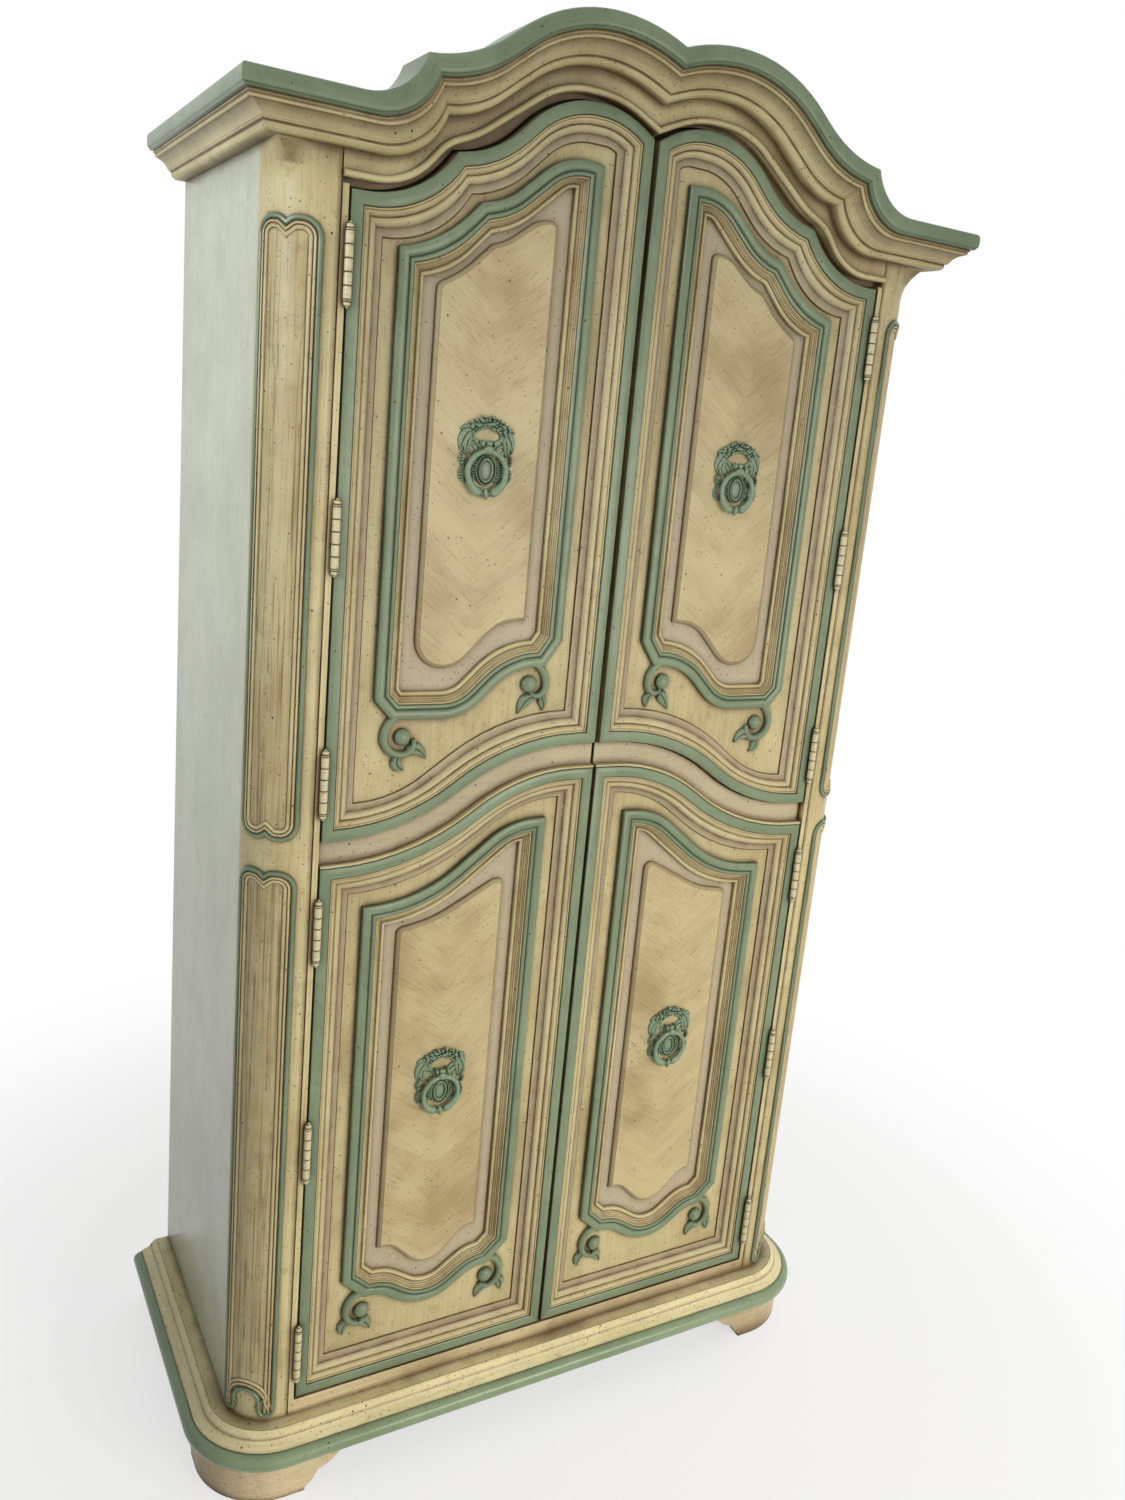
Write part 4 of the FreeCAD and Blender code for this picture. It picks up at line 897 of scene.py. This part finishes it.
def buildHoop(level):
    # slim at the top, swelling and grooved towards a tie at the bottom; an eye and a boss on the pin
    mesh = newMesh()
    wire, hoop = pull["wire"], pull["ring"]
    x, y, z = middle, face + pull["pivotDepth"], pull[level]
    rows = []
    for a in range(0, 360, 5):
        off = abs((a - 270 + 180) % 360 - 180)  # degrees from the bottom
        tied = off <= pull["tieHalf"]
        swell = 0.12 if tied else max(0.0, 1 - off / pull["swellOver"]) ** 0.8
        grooved = pull["grooves"] * swell * (1 + math.cos(math.radians(off * pull["grooveCount"])))
        wide = wire + pull["swell"] * swell - grooved
        section = around(30, (hoop + 1.4 * swell, y), wide, wire + 0.5 * swell)
        dx, dz = polar(1, a)
        ring = [(x + out * dx, deep, z - pull["drop"] + out * dz) for out, deep in section]
        rows.append(addRow(mesh, ring, 0.7 * tied))
    joinRows(mesh, rows, looped=True)
    blob(mesh, (x, y, z - pull["drop"] - hoop - 0.6), (3.7, 5.3, 8.6), Matrix.Rotation(0.16, 3, "Y"), 16)
    blob(mesh, (x, y, z), (5.9, 3.8, 3.8), fine=16)
    blob(mesh, (x, y - 0.4, z - 8), (7.2, 5.2, 6.2), fine=20)
    body = f"{level}_door_right_pull"
    finishPair(mesh, f"pull_hoop_{level}_right", castSage, body, [body + "_ring"], smooth=55)


# butt hinges

hinge = {
    "x": 423, "y": -224.7, "barrel": 5.2, "length": 80, "gap": 0.3, "leaf": 1.2, "leafWide": 30,
    "rebate": 0.6, "fixedWall": halfBay + 1.8, "heights": [1792, 1460, 1128, 912, 567, 222],
    # (inward from the barrel, from the knuckle's end, glaze)
    "knuckle": [(1.4, 0, 1), (0.5, 0.2, 1), (0, 1, 0.2), (0, 1.6, 0)],
    # (radius, from the end of the barrel, glaze with painted shade in the grooves)
    "finial": [(2.4, -1, 1), (5.2, 0, 0.8), (5.2, 1.4, 0), (4.4, 1.9, 0.9), (3.2, 2.5, 1), (3.9, 3.1, 0.2),
               (4.5, 4, 0), (4.6, 5, 0), (4.2, 6.3, 0), (3.1, 7.5, 0.4), (1.9, 8.2, 1), (1.7, 8.7, 0.5),
               (1.9, 9.2, 0), (1.6, 9.8, 0), (0.6, 10.2, 0)],
}


def turned(mesh, profile):
    # a lathe shape about the hinge's axis from (radius, height, glaze) rows
    closeSolid(mesh, [addRow(mesh, [(*polar(r, a, hinge["x"], hinge["y"]), z)
                                    for a in range(0, 360, 18)], glazeAndShade) for r, z, glazeAndShade in profile])


def plateBox(mesh, x, low, high):
    # a leaf's plate from (y, z) to (y, z)
    thick = hinge["leaf"]
    closeSolid(mesh, [addRow(mesh, [(x, low[0], z), (x + thick, low[0], z), (x + thick, high[0], z),
                                    (x, high[0], z)]) for z in (low[1], high[1])])


def knuckles(mesh, z, own, wall):
    length = (hinge["length"] - 4 * hinge["gap"]) / 5
    low = z - hinge["length"] / 2
    seat = face + hinge["rebate"]
    plateBox(mesh, wall, (seat, low), (seat + hinge["leafWide"], low + hinge["length"]))
    for index in own:
        a = low + index * (length + hinge["gap"])
        turned(mesh, [(hinge["barrel"] - cut, a + h, glazeAndShade) for cut, h, glazeAndShade in hinge["knuckle"]]
               + [(hinge["barrel"] - cut, a + length - h, glazeAndShade) for cut, h, glazeAndShade in hinge["knuckle"][::-1]])
        plateBox(mesh, wall, (hinge["y"], a), (seat, a + length))


def buildHinges():
    fixed, pins = newMesh(), newMesh()
    moving = {"upper": newMesh(), "lower": newMesh()}
    for z in hinge["heights"]:
        knuckles(fixed, z, (0, 2, 4), hinge["fixedWall"])
        knuckles(moving["upper" if z > seam else "lower"], z, (1, 3), halfBay)
        for way in (-1, 1):
            end = z + way * (hinge["length"] / 2 + hinge["gap"])
            turned(pins, [(r, end + way * h, glazeAndShade) for r, h, glazeAndShade in hinge["finial"]])
    finishPair(fixed, "hinge_fixed_right", hingePaint, replaced=["hinge_leaves_fixed"])
    finishPair(pins, "hinge_pins_right", hingePaint, replaced=["hinge_pins"], smooth=50)
    for level, mesh in moving.items():
        body = f"{level}_door_right"
        finishPair(mesh, f"hinge_{level}_right", hingePaint, body, [body + "_hinge_leaves"])


buildHinges()
for level in ("upper", "lower"):
    buildWreath(level)
    buildHoop(level)
    buildScrolls(level)
print("hardware and carving made")

# frieze, crown and cap; crown profiles are (reach in front of the carcass, drop below the crest, glaze with
# painted shade, wash)

capProfile = [(-37.5, 0), (49, 0), (51.4, 0.5), (53.4, 2), (54.6, 4.6), (55, 8.5), (55, 15), (54.6, 18.4),
    (53.8, 20.2, 0.2), (52.8, 20.8, 0.7), (52.2, 21.6, 0.3), (51.2, 23.2, 0.3), (49.4, 24, 0.8),
    (-37.5, 24, 1)]
crownProfile = [(0, 24.2, 1), (46, 24.2, 1), (46.2, 26.2, 0.35), (45.6, 27, 0.5), (44.2, 27.4, 1),
    (43.8, 28.4, 0.4), (44.2, 29.6), (43.8, 31.2), (42.6, 32), (41, 32.2, 0.9), (39.2, 33, 0.7, 0.1),
    (35.5, 34.6, 0.5, 0.2), (31.6, 37.2, 0.35, 0.3), (28.4, 40.6, 0.2, 0.2), (26.2, 44.6, 0.1),
    (25.6, 45.6, 0.2), (24.9, 45.8), (24.4, 47.2), (23, 47.8, 0.3), (21, 48.2, 1), (20.6, 49.2, 0.9),
    (21, 50.4, 0.1), (20.6, 52.6), (19, 55), (16.4, 57, 0.1), (13.4, 58, 0.4), (0, 58, 1)]
friezeBead = [(0, 3, 1), (0, -1.6, 0.4), (0.6, -3.6), (2.2, -5.4), (4.4, -6), (6.6, -5.2), (8.2, -3.2),
    (8.8, -1.2, 0.5), (9, 0.6, 1), (9, 3, 1)]
frieze = {"shield": 0.4, "shieldBack": 18, "backer": 18.2, "backerBack": 38, "under": 22}


def crownRun(name, profile, material, replaced):
    # one run: up the left side, mitred at the corner, over the crest and back down the right side
    steps = cornerSteps(bothSides(crestCurve(halfBody)), False, 4)
    mesh = newMesh()
    rows = []
    for reach, drop, *shade in profile:
        crest = inset(bothSides(crestCurve(halfBody + reach)), -drop, False)
        z = armoire["shoulder"] - drop
        points = [(px, face - reach, pz) for px, pz in walk(crest, False, steps)]
        side = halfBody + reach
        rows.append(addRow(mesh, [(-side, back, z), *points, (side, back, z)], *shade))
    closeRun(mesh, rows)
    finishPiece(mesh, name, material, replaced=replaced)


def prism(mesh, outline, depths, *shade):
    points = walk(outline, True, cornerSteps(outline, finest=4))
    rows = [frontRow(mesh, points, depth, *shade) for depth in depths]
    joinRows(mesh, rows)
    for row in rows:
        fillLoops(mesh, [row])


def buildFrieze():
    # the shield over the doors, its rebated back and the arched bead along its lower edge
    half = armoire["pilasterX"]
    lower = bothSides(beadCurve())
    crest = inset(bothSides(crestCurve(half)), -frieze["under"], False)[::-1]
    headLine = inset(bothSides(headCurve(0)), 4, False)
    headLine = [(-half, head + 4, 0)] + headLine[1:-1] + [(half, head + 4, 0)]
    mesh = newMesh()
    prism(mesh, inset(lower, 0.4, False) + crest, (frieze["shield"], frieze["shieldBack"]))
    # the backer darkened: painted shade in the recess behind the bead, with a pink-grey wash
    prism(mesh, headLine + crest, (frieze["backer"], frieze["backerBack"]), 0.5, 0.3)
    finishPiece(mesh, "frieze_shield", creamMoulding, replaced=["frieze_board"])
    mesh = newMesh()
    sweep(mesh, lower, friezeBead, closed=False, steps=cornerSteps(lower, False, 4))
    finishPiece(mesh, "frieze_bead", creamMoulding)


buildFrieze()
crownRun("crown_cap", capProfile, sageMoulding, ["crest_cap_front", "crest_cap_left", "crest_cap_right"])
crownRun("crown_moulding", crownProfile, creamMoulding, ["crown_front", "crown_left", "crown_right"])
print("crown made")

# pilasters

pilaster = {
    "axisX": 440.5, "axisY": -146.5, "radius": 73, "stave": 30, "tongueLow": 1868, "tongueHigh": 1924,
    "centre": 57.3, "half": 44.5, "lobe": 25, "lobeAt": 19.5, "cuspSide": 8, "fieldMargin": 14,
    "archMargin": 36, "footCurl": [(44.5, 0, 13), (20, 0, 12), (17.5, 19, 5)], "footArch": (18, 26),
    "stepArch": (20, 27), "stepFoot": (27, 10), "sharpen": 2.6, "scoopShadow": range(9, 18), "scoopShadowAt": 13,
    "panels": {"upper": (1047, 1842), "lower": (117, 1004)},
}
staveBead = [(-0.6, 1, 1), (-0.4, -1.2, 0.7), (0.4, -2.9), (2, -4.2), (4, -4.2), (5.6, -3),
    (6.4, -1.4, 0.7), (6.6, 1, 1)]
staveSteps = [(6.2, 1, 1), (6.4, -0.8, 1), (7.4, -1.6, 0.5), (8, -3), (9.4, -3.6), (10.6, -3),
    (11, -1.4, 1), (12, -1.3, 0.9), (12.4, -2.2, 0.1), (14, -2.8), (16, -2.2), (16.8, -1.2, 0.5),
    (17.2, -0.5, 1), (18.2, -0.4, 0.7), (18.6, 1, 1)]


def stavePoints(square):
    # the plan of the stave, from round (0) to square (1) at its corner
    x, front = armoire["pilasterX"], face
    cx, cy = pilaster["axisX"], pilaster["axisY"]
    inner = pilaster["radius"] - pilaster["stave"]
    points = [(x, front + 2.4), (x + 2.4, front)]
    for k in range(25):
        angle = math.radians(90 * k / 24)
        dx, dy = math.sin(angle), -math.cos(angle)
        grown = pilaster["radius"] * (1 + (1 / max(abs(dx), abs(dy)) - 1) * square)
        points.append((cx + dx * grown, cy + dy * grown))
    for k in range(13):
        angle = math.radians(90 - 90 * k / 12)
        points.append((cx + math.sin(angle) * inner, cy - math.cos(angle) * inner))
    return points + [(x, cy - inner)]


def buildStave():
    mesh = newMesh()
    low, high, foot = pilaster["tongueLow"], pilaster["tongueHigh"], armoire["plinth"]
    levels = [(foot, 0), (foot + 2, 0), (low - 20, 0)]
    levels += [(low + (high - low) * k / 14, (k / 14) ** pilaster["sharpen"]) for k in range(15)]
    levels += [(high + 0.5, 1), (armoire["capUnder"], 1)]
    rows = [addRow(mesh, [(x, y, z) for x, y in stavePoints(square)]) for z, square in levels]
    for (z, square), row in zip(levels, rows):
        if 0.2 < square < 0.9:
            for k in pilaster["scoopShadow"]:  # painted shadow below the square corner's point
                markGlazeAndShade(mesh, row, [k], 0.6 * (1 - abs(k - pilaster["scoopShadowAt"]) / 5))
        markGlazeAndShade(mesh, row, (0, 1), 0.7)
    closeSolid(mesh, rows)
    finishPair(mesh, "stave_right", creamBoard, replaced=["pilaster_right"], smooth=24)


def onStave(s, z, depth):
    angle = s / pilaster["radius"]
    reach = pilaster["radius"] - depth
    return pilaster["axisX"] + reach * math.sin(angle), pilaster["axisY"] - reach * math.cos(angle), z


def lobedEnd(z, way):
    # two round lobes with a cusp between them; way 1 is a bottom end, -1 a top end
    c, half, lobe, at = (pilaster[key] for key in ("centre", "half", "lobe", "lobeAt"))
    cusp = lobe - math.sqrt(lobe ** 2 - at ** 2)
    near = way * pilaster["cuspSide"]
    return [(c - way * half, z, lobe), (c - near, z, lobe * 0.8), (c, z + way * cusp * 0.66, 0),
            (c + near, z, lobe * 0.8), (c + way * half, z, lobe)]


def arc(radius, z, angles):
    return [(*polar(radius, a, pilaster["centre"], z), 0) for a in angles]


def archedFoot(z):
    # the foot of the lower panel: two curled ends with a round arch between them
    radius, rise = pilaster["footArch"]
    left, right = ([(pilaster["centre"] + way * x, z + h, r) for x, h, r in pilaster["footCurl"]]
                   for way in (-1, 1))
    return left + arc(radius, z + rise, range(207, -28, -9)) + right[::-1]


def buildStavePanel(key):
    bottom, top = pilaster["panels"][key]
    c, half, margin = pilaster["centre"], pilaster["half"], pilaster["fieldMargin"]
    arched = key == "lower"
    outline = (archedFoot(bottom) if arched else lobedEnd(bottom, 1)) + lobedEnd(top, -1)
    how = {"place": onStave, "steps": cornerSteps(outline, finest=10)}
    sweepPair(f"stave_bead_{key}_right", sageMoulding, "cabinet", outline, staveBead, **how)
    mesh = newMesh()
    if arched:
        sides = [(c + half, bottom + 8, 0), *lobedEnd(top, -1), (c - half, bottom + 8, 0)]
        sweep(mesh, sides, staveSteps, closed=False, place=onStave)
        (radius, rise), (side, low) = pilaster["stepArch"], pilaster["stepFoot"]
        arch = [(c - side, bottom + low, 0), *arc(radius, bottom + rise, range(180, -1, -9)),
                (c + side, bottom + low, 0)]
        sweep(mesh, arch, staveSteps, closed=False, place=onStave)
    else:
        sweep(mesh, outline, staveSteps, **how)
    finishPair(mesh, f"stave_steps_{key}_right", creamMoulding)
    # the sunk field, oak grain standing through its cream
    mesh = newMesh()
    across = [c + (half - margin) * k / 8 for k in range(-8, 9)]
    low, high = bottom + (pilaster["archMargin"] if arched else margin), top - margin
    # the field's edges dark and its face lightly so: brown glaze, with painted shade at the edges where it
    # sinks under the steps
    section = (low, 1, 1), (low, -0.35, 0.2), (high, -0.35, 0.2), (high, 1, 1)
    closeRun(mesh, [frontRow(mesh, [(s, z) for s in across], depth, glazeAndShade, place=onStave)
                    for z, depth, glazeAndShade in section])
    finishPair(mesh, f"stave_field_{key}_right", oakField)


buildStave()
for key in pilaster["panels"]:
    buildStavePanel(key)
print("pilasters made")

# base: rows of (reach, height, glaze with painted shade, wash) round the front of the footprint

base = {"nosing": 14, "nosingAt": (45, 78), "nosingInner": 8, "nosingFoot": 64}
nosing = [(base["nosingInner"], base["nosingFoot"], 1)]
for a, glazeAndShade in [(-90, 1), (-78, 0.6)] + [(a, 0) for a in range(-66, 79, 12)] + [(90, 0.8)]:
    nosing.append((*polar(base["nosing"], a, *base["nosingAt"]), glazeAndShade))
nosing.append((base["nosingInner"], armoire["plinth"], 1))
baseMoulding = [(-2, 91.8, 1), (45, 91.8, 1), (44.6, 93.4, 0.4), (42.5, 95, 0.1), (38, 96.6), (33.6, 98.4),
    (31, 100.6, 0.2), (30.2, 102.6, 1), (29.4, 103.6, 0.5), (27.6, 106, 0.1), (24.6, 108.6), (22, 110.4),
    (21, 111, 0.3), (19.6, 111, 0.9), (19, 111, 0.2), (-2, 111, 0.3)]


def planPoints(reach, z):
    # the footprint grown by reach: open at the back, round at both front corners
    radius = armoire["corner"] + reach
    half = halfBody + reach
    points = [(-half, back, z)]
    for side, angles in ((-1, [*range(180, 269, 5), 270]), (1, range(270, 361, 5))):
        for a in angles:
            points.append((*polar(radius, a, side * (half - radius), face - reach + radius), z))
    return points + [(half, back, z)]


for name, material, close, profile, replaced in (
        ("base_nose", sageNosingPaintedHighlight, closeSolid, nosing, "base_nosing"),
        ("base_slope", creamBasePaintedLight, closeRun, baseMoulding, "base_moulding")):
    mesh = newMesh()
    close(mesh, [addRow(mesh, planPoints(reach, z), *shade) for reach, z, *shade in profile])
    finishPiece(mesh, name, material, replaced=[replaced])
print("base made")

# boards and small steel that stay as they are, in their finishes

boards = [
    (creamSidePaintedCoolLight, "side_panel_left side_panel_right"),
    (creamBoard, "hinge_post_left hinge_post_right"),
    (creamRail, "mid_rail head_rail top_panel"),
    (roseRailPaintedLight, "bottom_rail front_foot_left front_foot_right back_foot_left back_foot_right"),
    (insideAcross, "floor_panel fixed_deck upper_shelf lower_shelf"),
    (insideUp, "back_panels"),
    (brightSteel, "door_magnets shelf_pins upper_door_left_strike upper_door_right_strike "
                  "lower_door_left_strike lower_door_right_strike"),
]
for material, names in boards:
    for name in names.split():
        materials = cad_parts[name].data.materials
        materials.clear()
        materials.append(material)
print("boards finished")

# floor, light and camera

studio = {"floor": "#f0efec", "clearFrom": 0.7, "clearTo": 1.7, "clearLeast": 0.66, "ambientLow": 0.22,
          "ambientHigh": 0.85, "leftShare": 0.16, "rightShare": 1.15, "aim": (0, 0, 0.45)}
white = {"Color": (1, 1, 1, 1), "Strength": 1.0}


def shownRay():
    # 1 for rays that show the backdrop itself: seen straight, in a gloss or through glass
    path = node("LightPath", {}).outputs
    through = node("Math", {0: path["Is Glossy Ray"], 1: path["Is Transmission Ray"]}, operation="MAXIMUM")
    return node("Math", {0: path["Is Camera Ray"], 1: through}, operation="MAXIMUM")


bpy.ops.object.select_all(action="DESELECT")
bpy.ops.mesh.primitive_plane_add(size=60, location=(0, 0, 0))
floor = bpy.context.active_object
floor.name = "studio_floor"
# pale floor that keeps the shadow near the object and fades to white further off
floor.data.materials.append(startTree(bpy.data.materials.new("pale_floor")))
away = node("VectorMath", {0: node("TexCoord", {}).outputs["Object"]}, operation="LENGTH")
faded = node("MapRange", {0: away.outputs["Value"], 1: studio["clearFrom"], 2: studio["clearTo"],
                          3: studio["clearLeast"]}, **smooth)
seen = node("Math", {0: faded, 1: shownRay()}, operation="MULTIPLY")
pale = node("BsdfPrincipled", {"Base Color": studio["floor"], "Roughness": 0.9})
node("OutputMaterial", {"Surface": node("MixShader", {0: seen, 1: pale, 2: node("Emission", white)})})

bpy.context.scene.world = startTree(bpy.data.worlds.new("studio"))
way = node("SeparateXYZ", {0: node("TexCoord", {})}).outputs
upward = node("MapRange", {0: way[2], 1: -0.3, 2: 0.9, 3: studio["ambientLow"], 4: studio["ambientHigh"]},
              **smooth)
sideways = node("MapRange", {0: way[0], 1: -0.9, 2: 0.3, 3: studio["leftShare"], 4: studio["rightShare"]},
                **smooth)
ambient = node("Math", {0: upward, 1: sideways}, operation="MULTIPLY")
plain = node("Background", {"Color": (0.95, 0.97, 1, 1), "Strength": ambient})
node("OutputWorld", {"Surface": node("MixShader", {0: shownRay(), 1: plain, 2: node("Background", white)})})

lamps = {
    "key": {"at": (1.3, -3.3, 1.2), "size": 1.4, "power": 9.6, "colour": "#fff7ea", "spread": 64},
    "fill": {"at": (0.4, -3.6, 0.6), "size": 2.0, "power": 5, "colour": "#fff8ee", "spread": 90},
    "side": {"at": (-3.0, -0.9, 2.2), "size": 0.9, "power": 4.2, "colour": "#eef3fa", "spread": 44,
             "aim": (-0.55, 0, 1.85)},
}
for name, lamp in lamps.items():
    data = bpy.data.lights.new(name, "AREA")
    data.size = lamp["size"]
    data.energy = lamp["power"]
    data.spread = math.radians(lamp["spread"])
    data.color = linear(lamp["colour"])[:3]
    light = bpy.data.objects.new(name, data)
    bpy.context.scene.collection.objects.link(light)
    light.location = lamp["at"]
    aim = Vector(lamp.get("aim", studio["aim"]))
    light.rotation_euler = (aim - light.location).to_track_quat("-Z", "Y").to_euler()

camera = {"at": (-0.9302, -1.7742, 1.6338), "yaw": 0.55290, "pitch": 0.23860, "roll": 0.10360,
          "lens": 29.581, "shift": (-0.03525, -0.0145)}
turn = (Matrix.Rotation(camera["roll"], 3, "Z") @ Matrix.Rotation(camera["pitch"] + math.pi / 2, 3, "X")
        @ Matrix.Rotation(camera["yaw"], 3, "Z"))
right, down, ahead = turn.row
facing = Matrix((right, -down, -ahead)).transposed()
lensData = bpy.data.cameras.new("view")
lensData.sensor_fit = "VERTICAL"
lensData.sensor_height = 36
lensData.lens = camera["lens"]
lensData.shift_x, lensData.shift_y = camera["shift"]
lensData.clip_end = 100
viewer = bpy.data.objects.new("view", lensData)
bpy.context.scene.collection.objects.link(viewer)
viewer.matrix_world = Matrix.Translation(camera["at"]) @ facing.to_4x4()
bpy.context.scene.camera = viewer
bpy.context.scene.view_settings.view_transform = "Standard"
print("studio set")
